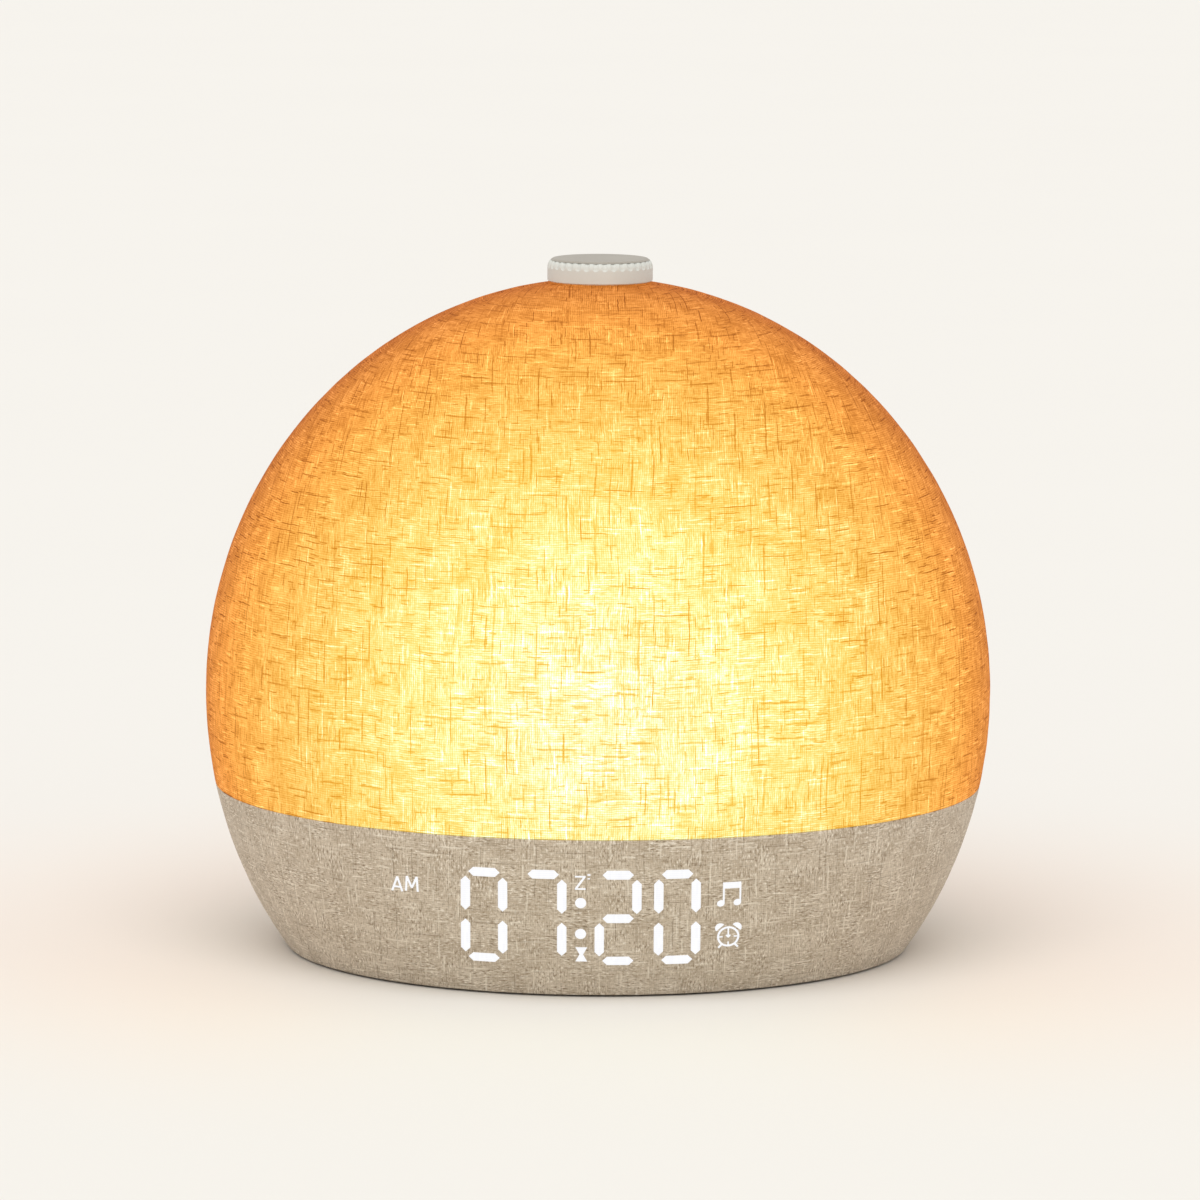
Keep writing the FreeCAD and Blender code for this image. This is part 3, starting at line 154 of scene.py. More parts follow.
# Light in the dome, from its back at 0 to its front at 1
glow_centre = (0.0, 0.0, 0.072)
glow_towards = (0.0, -0.999, -0.04)
glow_strength = 0.87
glow_stops = (
    (0.00, (214, 132, 58)),
    (0.30, (200, 116, 46)),
    (0.50, (194, 110, 43)),
    (0.60, (224, 142, 61)),
    (0.67, (242, 160, 69)),
    (0.74, (250, 178, 79)),
    (0.81, (253, 196, 93)),
    (0.887, (254, 219, 114)),
    (0.939, (255, 236, 138)),
    (0.972, (255, 247, 160)),
    (1.00, (255, 252, 184)),
)

# How strongly thick cloth dims red, green and blue light, at the rim and in the bright middle
rim_losses = (-0.58, -0.80, -1.30)
centre_losses = (-0.10, -0.52, -1.55)
# Share of the lamp's glow colour that is painted into the dome cloth's base colour as well
painted_glow_share = (0.16, 0.13, 0.12)

# Depth of the fine bumps of plastic, metal, rubber and boards
bump_distance = 0.0001


def skin_radius(z, offset=0.0):
    """Radius of the body's outline at height z, moved inward by offset."""
    rise = (dome_rise if z > equator_height else belly_drop) - offset
    share = (z - equator_height) / rise
    return (body_radius - offset) * math.sqrt(max(0.0, 1 - share * share))


def skin_height(radius, offset=0.0):
    """Height of the dome's outline at a radius, moved inward by offset."""
    share = radius / (body_radius - offset)
    return equator_height + (dome_rise - offset) * math.sqrt(max(0.0, 1 - share * share))


def linear(red, green, blue):
    """Linear colour of an sRGB one given from 0 to 255."""
    return tuple(
        c / 12.92 if c <= 0.04045 else ((c + 0.055) / 1.055) ** 2.4
        for c in (v / 255 for v in (red, green, blue))
    )


class Tree:
    """Short way to write a material's nodes."""

    def __init__(self, name):
        self.material = bpy.data.materials.new(name)
        self.material.use_nodes = True
        self.nodes = self.material.node_tree.nodes
        self.links = self.material.node_tree.links
        self.shader = self.nodes["Principled BSDF"]
        self.place = self.node("ShaderNodeTexCoord").outputs["Object"]

    def node(self, kind, **settings):
        made = self.nodes.new(kind)
        for key, value in settings.items():
            setattr(made, key, value)
        return made

    def put(self, socket, value):
        """Link a socket to the input, or set its value. A colour of three numbers gets an alpha."""
        if isinstance(value, bpy.types.NodeSocket):
            self.links.new(value, socket)
            return
        several = isinstance(value, (tuple, list, Vector))
        if several and len(socket.default_value) == 4 and len(value) == 3:
            value = (*value, 1.0)
        socket.default_value = value

    def math(self, operation, a, b=0.0):
        made = self.node("ShaderNodeMath", operation=operation)
        for socket, value in zip(made.inputs, (a, b)):
            self.put(socket, value)
        return made.outputs[0]

    def add(self, a, b):
        return self.math("ADD", a, b)

    def sub(self, a, b):
        return self.math("SUBTRACT", a, b)

    def mul(self, a, b):
        return self.math("MULTIPLY", a, b)

    def floor(self, a):
        return self.math("FLOOR", a)

    def fract(self, a):
        return self.math("FRACT", a)

    def vector(self, operation, a, b=(0.0, 0.0, 0.0), out=0):
        made = self.node("ShaderNodeVectorMath", operation=operation)
        self.put(made.inputs[0], a)
        self.put(made.inputs[1], b)
        return made.outputs[out]

    def split(self, a):
        """The x, y and z of a vector, or the red, green and blue of a colour."""
        made = self.node("ShaderNodeSeparateXYZ")
        self.put(made.inputs[0], a)
        return made.outputs[0], made.outputs[1], made.outputs[2]

    def join(self, x, y, z=0.0):
        """Vector or colour from three numbers."""
        made = self.node("ShaderNodeCombineXYZ")
        for socket, value in zip(made.inputs, (x, y, z)):
            self.put(socket, value)
        return made.outputs[0]

    def mix(self, share, a, b):
        """Number between a and b."""
        made = self.node("ShaderNodeMix", data_type="FLOAT")
        for socket, value in zip((made.inputs[0], made.inputs[2], made.inputs[3]), (share, a, b)):
            self.put(socket, value)
        return made.outputs[0]

    def blend(self, share, a, b):
        """Colour between a and b."""
        made = self.node("ShaderNodeMix", data_type="RGBA")
        for socket, value in zip((made.inputs[0], made.inputs[6], made.inputs[7]), (share, a, b)):
            self.put(socket, value)
        return made.outputs[2]

    def smooth(self, value, low, high):
        """0 below low, 1 above high, smooth between."""
        made = self.node("ShaderNodeMapRange", interpolation_type="SMOOTHSTEP")
        for socket, setting in zip(made.inputs, (value, low, high)):
            self.put(socket, setting)
        return made.outputs[0]

    def noise(self, place, scale, detail=2.0, roughness=0.5):
        made = self.node("ShaderNodeTexNoise")
        self.put(made.inputs["Vector"], place)
        made.inputs["Scale"].default_value = scale
        made.inputs["Detail"].default_value = detail
        made.inputs["Roughness"].default_value = roughness
        return made.outputs[0]

    def chance(self, x, y, seed):
        """Random number from 0 to 1 for a cell."""
        made = self.node("ShaderNodeTexWhiteNoise", noise_dimensions="3D")
        self.put(made.inputs["Vector"], self.join(x, y, seed))
        return made.outputs[0]

    def ramp(self, share, stops):
        """Colour from a list of positions and colours."""
        made = self.node("ShaderNodeValToRGB")
        self.put(made.inputs[0], share)
        points = made.color_ramp.elements
        while len(points) < len(stops):
            points.new(0.5)
        for point, (position, colour) in zip(points, stops):
            point.position = position
            point.color = (*colour, 1.0)
        return made.outputs[0]

    def bump(self, height, strength, distance=bump_distance):
        """Fine relief of the surface."""
        made = self.node("ShaderNodeBump")
        made.inputs["Strength"].default_value = strength
        made.inputs["Distance"].default_value = distance
        self.put(made.inputs["Height"], height)
        self.put(self.shader.inputs["Normal"], made.outputs[0])

    def set(self, **values):
        """Set or link the shader's inputs, named with _ for a space."""
        for key, value in values.items():
            self.put(self.shader.inputs[key.replace("_", " ")], value)
        return self.material


# Linen
def cloth_plane(t):
    """Position on the cloth: round the body from the front or back, and up along its outline."""
    x, y, z = t.split(t.place)
    radius = t.math("SQRT", t.add(t.mul(x, x), t.mul(y, y)))
    along = t.mul(radius, t.math("ARCTAN2", x, t.math("ABSOLUTE", y)))
    rise = t.math("DIVIDE", t.sub(z, equator_height), dome_rise)
    across = t.mul(t.math("ARCSINE", t.math("MINIMUM", rise, top_limit)), mean_radius)
    return along, across


def wander(t, scale, amount, seed):
    """Slow sideways drift of the threads."""
    shifted = t.vector("ADD", t.place, (seed, seed * 0.7, seed * 1.3))
    return t.mul(t.sub(t.noise(shifted, scale, 1.0), 0.5), amount)


def drift(t, seed):
    """Slow and quick drift together."""
    return t.add(wander(t, *slow_drift, seed), wander(t, *quick_drift, seed + 1.0))


def slubs(t, along, across, pitch, length, width, share, seed):
    """Thick stretches of thread: 1 in the middle of each, 0 outside."""
    rows = t.mul(across, 1 / pitch)
    row = t.floor(rows)
    off_middle = t.math("ABSOLUTE", t.sub(t.fract(rows), 0.5))
    runs = t.add(t.mul(along, 1 / length), t.mul(t.chance(row, 0.5, seed), 9.0))
    run = t.floor(runs)
    here = t.chance(row, run, seed + 0.37)
    kind = t.math("DIVIDE", here, share)
    strength = t.mul(t.math("LESS_THAN", kind, 1.0), t.sub(1.0, t.mul(kind, 0.75)))
    reach = t.mix(t.chance(row, run, seed + 0.11), 0.15, 0.5)
    from_middle = t.math("ABSOLUTE", t.sub(t.fract(runs), 0.5))
    ends = t.sub(1.0, t.smooth(from_middle, t.mul(reach, 0.6), reach))
    half = 0.5 * width / pitch
    body = t.sub(1.0, t.smooth(off_middle, 0.3 * half, 1.2 * half))
    return t.mul(strength, t.mul(ends, body))


def crossed_slubs(t, along, across, sizes):
    """Slubs of both thread directions."""
    one, other = sizes
    return t.math("MAXIMUM", slubs(t, along, across, *one), slubs(t, across, along, *other))


def threads(t, along, across, seed):
    """One family of even threads: their round profile, and how bright each stretch is."""
    rows = t.mul(across, 1 / thread_pitch)
    profile = t.math("ABSOLUTE", t.math("SINE", t.mul(rows, math.pi)))
    row = t.floor(rows)
    runs = t.add(t.mul(along, 1 / thread_run), t.mul(t.chance(row, 0.5, seed), 7.0))
    tone = t.chance(row, t.floor(runs), seed + 0.5)
    return profile, tone


def linen(t):
    """Weave of the cloth: fine threads, dark slubs, light slubs and patches."""
    along, across = cloth_plane(t)
    a = t.add(along, drift(t, 1.0))
    c = t.add(across, drift(t, 3.0))
    weft, weft_tone = threads(t, a, c, weft_seed)
    warp, warp_tone = threads(t, c, a, warp_seed)
    lead = t.smooth(t.noise(t.vector("ADD", t.place, (5.0, 2.0, 1.0)), 110.0, 2.0), 0.36, 0.64)
    knots = t.mul(weft, warp)
    fine = t.mix(0.45, t.mix(lead, weft, warp), knots)
    tone = t.mix(lead, weft_tone, warp_tone)
    fuzz = t.mix(
        lead,
        t.noise(t.join(t.mul(a, fuzz_stretch), c), fuzz_scale, 2.0, 0.6),
        t.noise(t.join(a, t.mul(c, fuzz_stretch)), fuzz_scale, 2.0, 0.6),
    )
    dark = crossed_slubs(t, a, c, dark_slubs)
    short = crossed_slubs(t, a, c, short_slubs)
    dark = t.math("MAXIMUM", dark, t.mul(short, 0.8))
    light = crossed_slubs(t, a, c, light_slubs)
    patch = t.noise(t.vector("ADD", t.place, (9.0, 4.0, 7.0)), 150.0, 3.0, 0.65)
    return {"fine": fine, "tone": tone, "fuzz": fuzz, "dark": dark, "light": light, "patch": patch}


def lit_linen():
    """Dome cloth with the light behind it: bright at the front, deep orange elsewhere."""
    t = Tree("lit_linen")
    weave = linen(t)
    outward = t.vector("NORMALIZE", t.vector("SUBTRACT", t.place, glow_centre))
    facing = t.vector("DOT_PRODUCT", outward, glow_towards, out=1)
    glow = t.ramp(t.add(t.mul(facing, 0.5), 0.5), [(p, linear(*c)) for p, c in glow_stops])
    thickness = t.mul(t.sub(0.5, weave["fine"]), 0.75)
    for part, weight in (("tone", 0.45), ("fuzz", 1.3), ("patch", 1.3)):
        thickness = t.add(thickness, t.mul(t.sub(0.5, weave[part]), weight))
    thickness = t.add(thickness, t.mul(weave["dark"], 1.35))
    thickness = t.sub(thickness, t.mul(weave["light"], 0.55))
    channels = t.split(glow)
    inner = t.smooth(facing, 0.35, 0.9)
    passed = [
        t.mul(channel, t.math("EXPONENT", t.mul(thickness, t.mix(inner, at_rim, at_centre))))
        for channel, at_rim, at_centre in zip(channels, rim_losses, centre_losses)
    ]
    colour = t.join(*passed)
    # The lamp's glow is painted into the base colour too, at a small share of its strength
    return t.set(
        Base_Color=t.vector("MULTIPLY", colour, painted_glow_share),
        Roughness=0.92,
        Specular_IOR_Level=0.1,
        Emission_Color=colour,
        Emission_Strength=glow_strength,
    )


def plain_linen():
    """Base cloth: the same weave unlit, in natural greige."""
    t = Tree("plain_linen")
    weave = linen(t)
    ground = t.blend(t.smooth(weave["patch"], 0.35, 0.68), linear(188, 172, 150), linear(212, 198, 178))
    ground = t.blend(t.mul(weave["tone"], 0.45), ground, linear(224, 212, 193))
    ground = t.blend(t.mul(t.sub(1.0, weave["fine"]), 0.42), ground, linear(150, 132, 108))
    ground = t.blend(t.smooth(weave["fuzz"], 0.50, 0.72), ground, linear(132, 114, 90))
    ground = t.blend(t.smooth(weave["fuzz"], 0.48, 0.30), ground, linear(238, 229, 214))
    ground = t.blend(t.mul(weave["dark"], 0.55), ground, linear(120, 102, 78))
    ground = t.blend(t.mul(weave["light"], 0.60), ground, linear(240, 231, 214))
    t.bump(t.noise(t.place, 1900.0, 2.0, 0.6), 0.7, 0.0004)
    return t.set(
        Base_Color=ground,
        Roughness=0.9,
        Specular_IOR_Level=0.15,
        Sheen_Weight=0.15,
        Sheen_Roughness=0.6,
    )


# Other materials
def moulded(name, colour, roughness=0.5, grain=0.06, specular=0.4):
    """Moulded plastic with a fine spark-eroded texture."""
    t = Tree(name)
    cloudy = t.noise(t.place, 60.0, 3.0)
    fine = t.noise(t.place, 3500.0, 2.0, 0.6)
    low, high = (tuple(c * k for c in linear(*colour)) for k in (0.94, 1.04))
    t.bump(fine, grain)
    shade = t.blend(t.smooth(cloudy, 0.3, 0.7), low, high)
    return t.set(
        Base_Color=shade,
        Roughness=t.add(roughness - 0.06, t.mul(fine, 0.12)),
        Specular_IOR_Level=specular,
    )


def metal(name, colour, roughness=0.3, stretch=(1.0, 1.0, 14.0)):
    """Metal with fine drawn marks."""
    t = Tree(name)
    marks = t.noise(t.vector("MULTIPLY", t.place, stretch), 900.0, 3.0, 0.6)
    low, high = (tuple(c * k for c in linear(*colour)) for k in (0.82, 1.05))
    t.bump(marks, 0.08)
    return t.set(
        Base_Color=t.blend(marks, low, high),
        Metallic=1.0,
        Roughness=t.add(roughness - 0.08, t.mul(marks, 0.18)),
    )


def soft_rubber(name, colour, roughness=0.75):
    """Rubber or foam with dust in its pores."""
    t = Tree(name)
    pores = t.noise(t.place, 2200.0, 4.0, 0.7)
    dust = t.smooth(t.noise(t.place, 180.0, 4.0), 0.5, 0.8)
    base = linear(*colour)
    t.bump(pores, 0.25)
    return t.set(
        Base_Color=t.blend(t.mul(dust, 0.25), base, tuple(0.6 * c + 0.12 for c in base)),
        Roughness=roughness,
        Specular_IOR_Level=0.25,
    )


def circuit(name, colour, track):
    """Circuit board: broken rows of tracks under the solder mask."""
    t = Tree(name)
    x, y, z = t.split(t.place)
    rows = t.mul(t.add(x, z), 700.0)
    cell = t.chance(t.floor(rows), t.floor(t.mul(y, 160.0)), 3.0)
    off_middle = t.math("ABSOLUTE", t.sub(t.fract(rows), 0.5))
    line = t.mul(t.math("LESS_THAN", off_middle, 0.22), t.math("GREATER_THAN", cell, 0.45))
    shade = t.blend(t.mul(line, 0.7), linear(*colour), linear(*track))
    t.bump(line, 0.2)
    return t.set(Base_Color=shade, Roughness=0.35, Specular_IOR_Level=0.5)


def glowing(name, colour, strength):
    """Phosphor or light guide with a slightly uneven glow."""
    t = Tree(name)
    uneven = t.noise(t.place, 420.0, 2.0)
    base = linear(*colour)
    shade = t.blend(uneven, tuple(c * 0.93 for c in base), base)
    return t.set(Base_Color=shade, Roughness=0.4, Emission_Color=shade, Emission_Strength=strength)


def display_light():
    """Display light on the cloth: white, with a faint trace of the threads over it."""
    t = Tree("display_light")
    along, across = cloth_plane(t)
    weft = threads(t, along, across, weft_seed)[0]
    warp_tone = threads(t, across, along, warp_seed)[1]
    trace = t.add(t.mul(weft, 0.5), t.mul(warp_tone, 0.5))
    shade = t.blend(trace, linear(246, 246, 250), linear(255, 255, 255))
    return t.set(
        Base_Color=(0.02, 0.02, 0.02),
        Roughness=0.9,
        Specular_IOR_Level=0.0,
        Emission_Color=shade,
        Emission_Strength=1.0,
    )


def studio_floor():
    """Pale matte floor, with the lamp's warm glow painted on it beside the clock."""
    t = Tree("studio_floor")
    faint = t.noise(t.place, 6.0, 2.0)
    shade = t.blend(faint, floor_low, floor_high)
    x, y, z = t.split(t.place)
    away = t.math("SQRT", t.add(t.mul(x, x), t.mul(y, y)))
    # Painted glow of the lamp: warm left and right of the clock, fading further away
    beside = t.smooth(t.math("ABSOLUTE", x), 0.03, 0.10)
    painted_glow_mask = t.mul(beside, t.sub(1.0, t.smooth(away, 0.09, 0.27)))
    shade = t.blend(painted_glow_mask, shade, floor_painted_glow_colour)
    return t.set(Base_Color=shade, Roughness=0.95, Specular_IOR_Level=0.05)


# For each of the record's slots: the kind of material, its colour and what else differs
slot_looks = {
    "milky_plastic": (moulded, (240, 237, 230), 0.55),
    "white_plastic": (moulded, (238, 238, 236), 0.5),
    "beige_plastic": (moulded, (196, 183, 163), 0.62, 0.15),
    "button_beige": (moulded, (184, 171, 151), 0.55, 0.1),
    "foot_rubber": (soft_rubber, (58, 56, 54)),
    "plain_aluminium": (metal, (214, 216, 218), 0.35, (1.0, 12.0, 1.0)),
    "board_white": (circuit, (236, 236, 230), (214, 214, 206)),
    "led_lit": (glowing, (255, 214, 120), 1.0),
    "knob_beige": (moulded, (211, 214, 208), 0.5, 0.05),
    "knob_grey": (moulded, (163, 157, 146), 0.45, 0.05),
    "collar_pale": (moulded, (222, 220, 212), 0.5, 0.05),
    "zinc_steel": (metal, (198, 200, 204), 0.3),
    "spring_steel": (metal, (214, 214, 212), 0.2),
    "screw_steel": (metal, (176, 178, 184), 0.28),
    "black_steel": (moulded, (30, 30, 32), 0.4, 0.04),
    "black_plastic": (moulded, (28, 28, 30), 0.5),
    "black_foam": (soft_rubber, (34, 34, 34), 0.9),
    "black_rubber": (soft_rubber, (28, 28, 28), 0.7),
    "board_green": (circuit, (18, 84, 48), (44, 122, 74)),
    "flex_amber": (circuit, (184, 112, 34), (148, 84, 26)),
    "smoke_film": (moulded, (104, 100, 96), 0.2, 0.02, 0.6),
    "display_lit": (glowing, (250, 250, 255), 0.9),
    "paper_cone": (soft_rubber, (40, 40, 42), 0.85),
    "gold_brass": (metal, (218, 186, 112), 0.28),
    "wire_red": (moulded, (168, 28, 24), 0.45, 0.03),
    "wire_black": (moulded, (26, 26, 28), 0.45, 0.03),
}


def dress_nodes():
    """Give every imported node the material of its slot. The two cloths have pieces of their own."""
    ready = {name: make(name, *values) for name, (make, *values) in slot_looks.items()}
    for entry in frame["record"]["subparts"]:
        material = ready.get(entry["material_slot"])
        if material is None:
            continue
        node = bpy.data.objects[entry["node"]]
        for place in node.material_slots:
            place.link = "OBJECT"
            place.material = material


# Cloth pieces
def skin_line(offset, z_low, z_high, rows):
    """Points (radius, height) up the outline, evenly spaced in height."""
    spots = []
    for i in range(rows + 1):
        z = z_low + (z_high - z_low) * i / rows
        spots.append((skin_radius(z, offset), z))
    return spots


def even_line(spots, count):
    """The same line with count + 1 evenly spaced points."""
    lengths = [0.0]
    for a, b in zip(spots, spots[1:]):
        lengths.append(lengths[-1] + math.dist(a, b))
    line = []
    k = 0
    for i in range(count + 1):
        goal = lengths[-1] * i / count
        while k < len(spots) - 2 and lengths[k + 1] < goal:
            k += 1
        share = (goal - lengths[k]) / max(lengths[k + 1] - lengths[k], tiny_length)
        line.append(tuple(p + (q - p) * share for p, q in zip(spots[k], spots[k + 1])))
    return line


def rounded(corner, before, after, radius, steps=5):
    """Round a corner of a (radius, height) outline."""
    c, b, a = (Vector(p) for p in (corner, before, after))
    to_b, to_a = (b - c).normalized() * radius, (a - c).normalized() * radius
    return [
        tuple(c + to_b * (1 - s) ** 2 + to_a * s ** 2)
        for s in (i / steps for i in range(steps + 1))
    ]


def scene_piece(name, made):
    """Object in the scene from a finished bmesh."""
    bmesh.ops.recalc_face_normals(made, faces=made.faces)
    mesh = bpy.data.meshes.new(name)
    made.to_mesh(mesh)
    made.free()
    piece = bpy.data.objects.new(name, mesh)
    bpy.context.scene.collection.objects.link(piece)
    return piece


def turned_piece(name, outline, loose_rows):
    """Turned piece from a closed outline. Its first loose_rows points get the cloth's slight swell."""
    made = bmesh.new()
    rings = []
    for index, (radius, z) in enumerate(outline):
        row = []
        for step in range(around_steps):
            angle = 2 * math.pi * step / around_steps
            spot = Vector((radius * math.cos(angle), radius * math.sin(angle), z))
            if index < loose_rows:
                from_end = min(index, loose_rows - 1 - index)
                ease = min(1.0, from_end / swell_ease_rows)
                out = (spot - Vector(glow_centre)).normalized()
                spot += out * (swell * ease * (noise.noise(spot * swell_scale) - swell_bias))
            row.append(made.verts.new(spot))
        rings.append(row)
    for lower, upper in zip(rings, rings[1:] + rings[:1]):
        for step in range(around_steps):
            after = (step + 1) % around_steps
            made.faces.new((lower[step], lower[after], upper[after], upper[step]))
    piece = scene_piece(name, made)
    piece.data.shade_smooth()
    return piece


def dome_cloth():
    """Stretched cover of the dome, with a rounded hem at the seam."""
    low = seam_height + seam_gap / 2
    top = skin_height(cloth_hole_radius)
    outer = even_line(skin_line(0.0, low, top, dome_samples), dome_rows)
    back_top = skin_height(cloth_hole_radius, cloth_thickness)
    back = even_line(skin_line(cloth_thickness, low, back_top, dome_back_samples), back_rows)[::-1]
    hem = rounded(outer[0], back[-1], outer[1], hem_round)
    piece = turned_piece("dome_cloth", outer[1:] + back + hem, dome_rows)
    piece.data.materials.append(lit_linen())
    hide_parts("dome_fabric")
    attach(piece, "clock")
    return piece


def base_cloth():
    """Stretched band of the base, turned under its edge, with the opening of the rear panel."""
    top = seam_height - seam_gap / 2
    turn_top = edge_height + cloth_thickness
    outer = even_line(skin_line(0.0, edge_height, top, band_samples), band_rows)
    back = even_line(skin_line(cloth_thickness, turn_top, top, band_back_samples), back_rows)[::-1]
    turn_radius = skin_radius(edge_height) - cloth_turn
    turn = [(turn_radius, turn_top), (turn_radius, edge_height)]
    foot = rounded(outer[0], turn[1], outer[1], hem_round)
    hem = rounded(outer[-1], outer[-2], back[0], hem_round)
    outline = outer[1:-1] + hem + back + turn + foot
    piece = turned_piece("base_cloth", outline, band_rows - 2)
    cut_opening(piece)
    piece.data.materials.append(plain_linen())
    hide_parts("base_fabric")
    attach(piece, "clock")
    return piece


def opening_cutter():
    """Block with the rounded outline of the rear panel's opening."""
    half_x = panel_half_width + panel_gap
    low, high = panel_bottom - panel_gap, panel_top + panel_gap
    corner = panel_corner + panel_gap
    made = bmesh.new()
    rim = []
    for cx, cz, start in (
        (half_x - corner, high - corner, 0),
        (corner - half_x, high - corner, 90),
        (corner - half_x, low + corner, 180),
        (half_x - corner, low + corner, 270),
    ):
        for i in range(corner_steps + 1):
            angle = math.radians(start + 90 * i / corner_steps)
            rim.append((cx + corner * math.cos(angle), cz + corner * math.sin(angle)))
    near = [made.verts.new((x, cutter_near, z)) for x, z in rim]
    far = [made.verts.new((x, cutter_far, z)) for x, z in rim]
    made.faces.new(near)
    made.faces.new(far[::-1])
    for i in range(len(rim)):
        k = (i + 1) % len(rim)
        made.faces.new((near[k], near[i], far[i], far[k]))
    return scene_piece("opening_cutter", made)


def cut_opening(piece):
    """Cut the rear panel's opening through the band."""
    cutter = opening_cutter()
    change = piece.modifiers.new("opening", "BOOLEAN")
    change.operation = "DIFFERENCE"
    change.solver = "EXACT"
    change.object = cutter
    bpy.context.view_layer.update()
    ready = piece.evaluated_get(bpy.context.evaluated_depsgraph_get())
    cut = bpy.data.meshes.new_from_object(ready)
    piece.modifiers.clear()
    piece.data = cut
    cut.materials.clear()
    cut.shade_smooth()
    bpy.data.objects.remove(cutter)


# Lit display
def on_cloth(x, z, proud=0.0):
    """Point on the front of the cloth, standing proud of it."""
    return Vector((x, -math.sqrt(skin_radius(z, -proud) ** 2 - x * x), z))


def bar_shape(x, z, across):
    """Bar with pointed ends, between its low and high x and its low and high z."""
    tip = bar_width / 2
    if across:
        mid = (z[0] + z[1]) / 2
        return [
            (x[0], mid), (x[0] + tip, z[0]), (x[1] - tip, z[0]),
            (x[1], mid), (x[1] - tip, z[1]), (x[0] + tip, z[1]),
        ]
    mid = (x[0] + x[1]) / 2
    return [
        (mid, z[0]), (x[1], z[0] + tip), (x[1], z[1] - tip),
        (mid, z[1]), (x[0], z[1] - tip), (x[0], z[0] + tip),
    ]


def digit_shapes(left, lit):
    """Lit bars of one digit, by the usual letters a to g."""
    right = left + digit_width
    low, high = digit_middle - digit_height / 2, digit_middle + digit_height / 2
    half = bar_width / 2
    across = {"a": high - half, "g": digit_middle, "d": low + half}
    upright = {
        "f": (left, digit_middle + bar_middle_gap, high - bar_end_gap),
        "b": (right - bar_width, digit_middle + bar_middle_gap, high - bar_end_gap),
        "e": (left, low + bar_end_gap, digit_middle - bar_middle_gap),
        "c": (right - bar_width, low + bar_end_gap, digit_middle - bar_middle_gap),
    }
    shapes = []
    for letter in lit:
        if letter in across:
            z = across[letter]
            ends = (left + bar_side_gap, right - bar_side_gap)
            shapes.append(bar_shape(ends, (z - half, z + half), True))
        else:
            x, z_low, z_high = upright[letter]
            shapes.append(bar_shape((x, x + bar_width), (z_low, z_high), False))
    return shapes


def round_shape(x, z, radius, steps=28, squeeze=1.0, lean=0.0):
    """Disc round (x, z), or an ellipse where it is squeezed, turned by lean."""
    spots = []
    for i in range(steps):
        angle = 2 * math.pi * i / steps
        u, v = radius * math.cos(angle), radius * squeeze * math.sin(angle)
        spots.append((
            x + u * math.cos(lean) - v * math.sin(lean),
            z + u * math.sin(lean) + v * math.cos(lean),
        ))
    return spots


def at_angle(x, z, reach, angle):
    """Point at a distance and an angle from (x, z)."""
    return x + reach * math.cos(angle), z + reach * math.sin(angle)


def stroke(a, b, width):
    """Straight stroke between two (x, z) points."""
    along = (Vector(b) - Vector(a)).normalized()
    side = Vector((-along.y, along.x)) * (width / 2)
    return [tuple(Vector(p) + s) for p, s in ((a, side), (b, side), (b, -side), (a, -side))]


def arc_band(x, z, radius, width, start, end, steps):
    """Curved stroke round a point, as short straight quads, in degrees."""
    quads = []
    inner, outer = radius - width / 2, radius + width / 2
    for i in range(steps):
        a, b = (math.radians(start + (end - start) * k / steps) for k in (i, i + 1))
        corners = ((inner, a), (outer, a), (outer, b), (inner, b))
        quads.append([at_angle(x, z, reach, angle) for reach, angle in corners])
    return quads


def am_shapes():
    """The letters A and M."""
    low, high, lift = 0.02500, 0.02875, 0.00028
    bar_z, dip_z = low + 0.0011, low + 0.0009
    width, bar_stroke = 0.00050, 0.00044
    a = [(-0.04795, low), (-0.04675, high - 0.0001), (-0.04555, low)]
    m = [(-0.04468, low), (-0.04448, high), (-0.04330, dip_z), (-0.04212, high), (-0.04190, low)]
    m = [(x, z + lift) for x, z in m]
    shapes = [stroke(p, q, width) for p, q in zip(a, a[1:])]
    shapes.append(stroke((-0.04752, bar_z), (-0.04598, bar_z), bar_stroke))
    shapes += [stroke(p, q, width) for p, q in zip(m, m[1:])]
    return shapes


def doze_shapes():
    """Z with two specks, and the hourglass."""
    left, right, low, high = -0.00515, -0.00265, 0.02805, 0.03110
    width, slant_width, slant_inset = 0.00040, 0.0005, 0.0002
    upper_speck, lower_speck = 0.03155, 0.03060
    shapes = [
        stroke((left, high), (right, high), width),
        stroke((right - slant_inset, high), (left + slant_inset, low), slant_width),
        stroke((left, low), (right, low), width),
        stroke((-0.00225, upper_speck), (-0.00155, upper_speck), 0.0004),
        stroke((-0.00220, lower_speck), (-0.00165, lower_speck), 0.0003),
    ]
    x, z, half_w, half_h, neck = -0.00361, 0.01137, 0.00138, 0.00185, 0.00042
    top, foot = z + half_h, z - half_h
    shapes.append([(x - half_w, top), (x - neck, z), (x + neck, z), (x + half_w, top)])
    shapes.append([(x - neck, z), (x - half_w, foot), (x + half_w, foot), (x + neck, z)])
    return shapes


def music_shapes():
    """Two beamed notes."""
    left, right = 0.02955, 0.03343
    top_left, top_right = 0.02898, 0.02900
    beam, beam_end, stem_width = 0.00155, 0.0002, 0.00042
    head_radius, head_shift, head_drop = 0.00092, 0.00068, 0.0001
    start, end = left - beam_end, right + beam_end
    shapes = [[(start, top_left), (end, top_right), (end, top_right - beam), (start, top_left - beam)]]
    for x, top, foot in ((left, top_left, 0.02385), (right, top_right, 0.02395)):
        shapes.append(stroke((x, top - beam / 2), (x, foot), stem_width))
        head = round_shape(x - head_shift, foot - head_drop, head_radius, squeeze=0.86, lean=0.35)
        shapes.append(head)
    return shapes


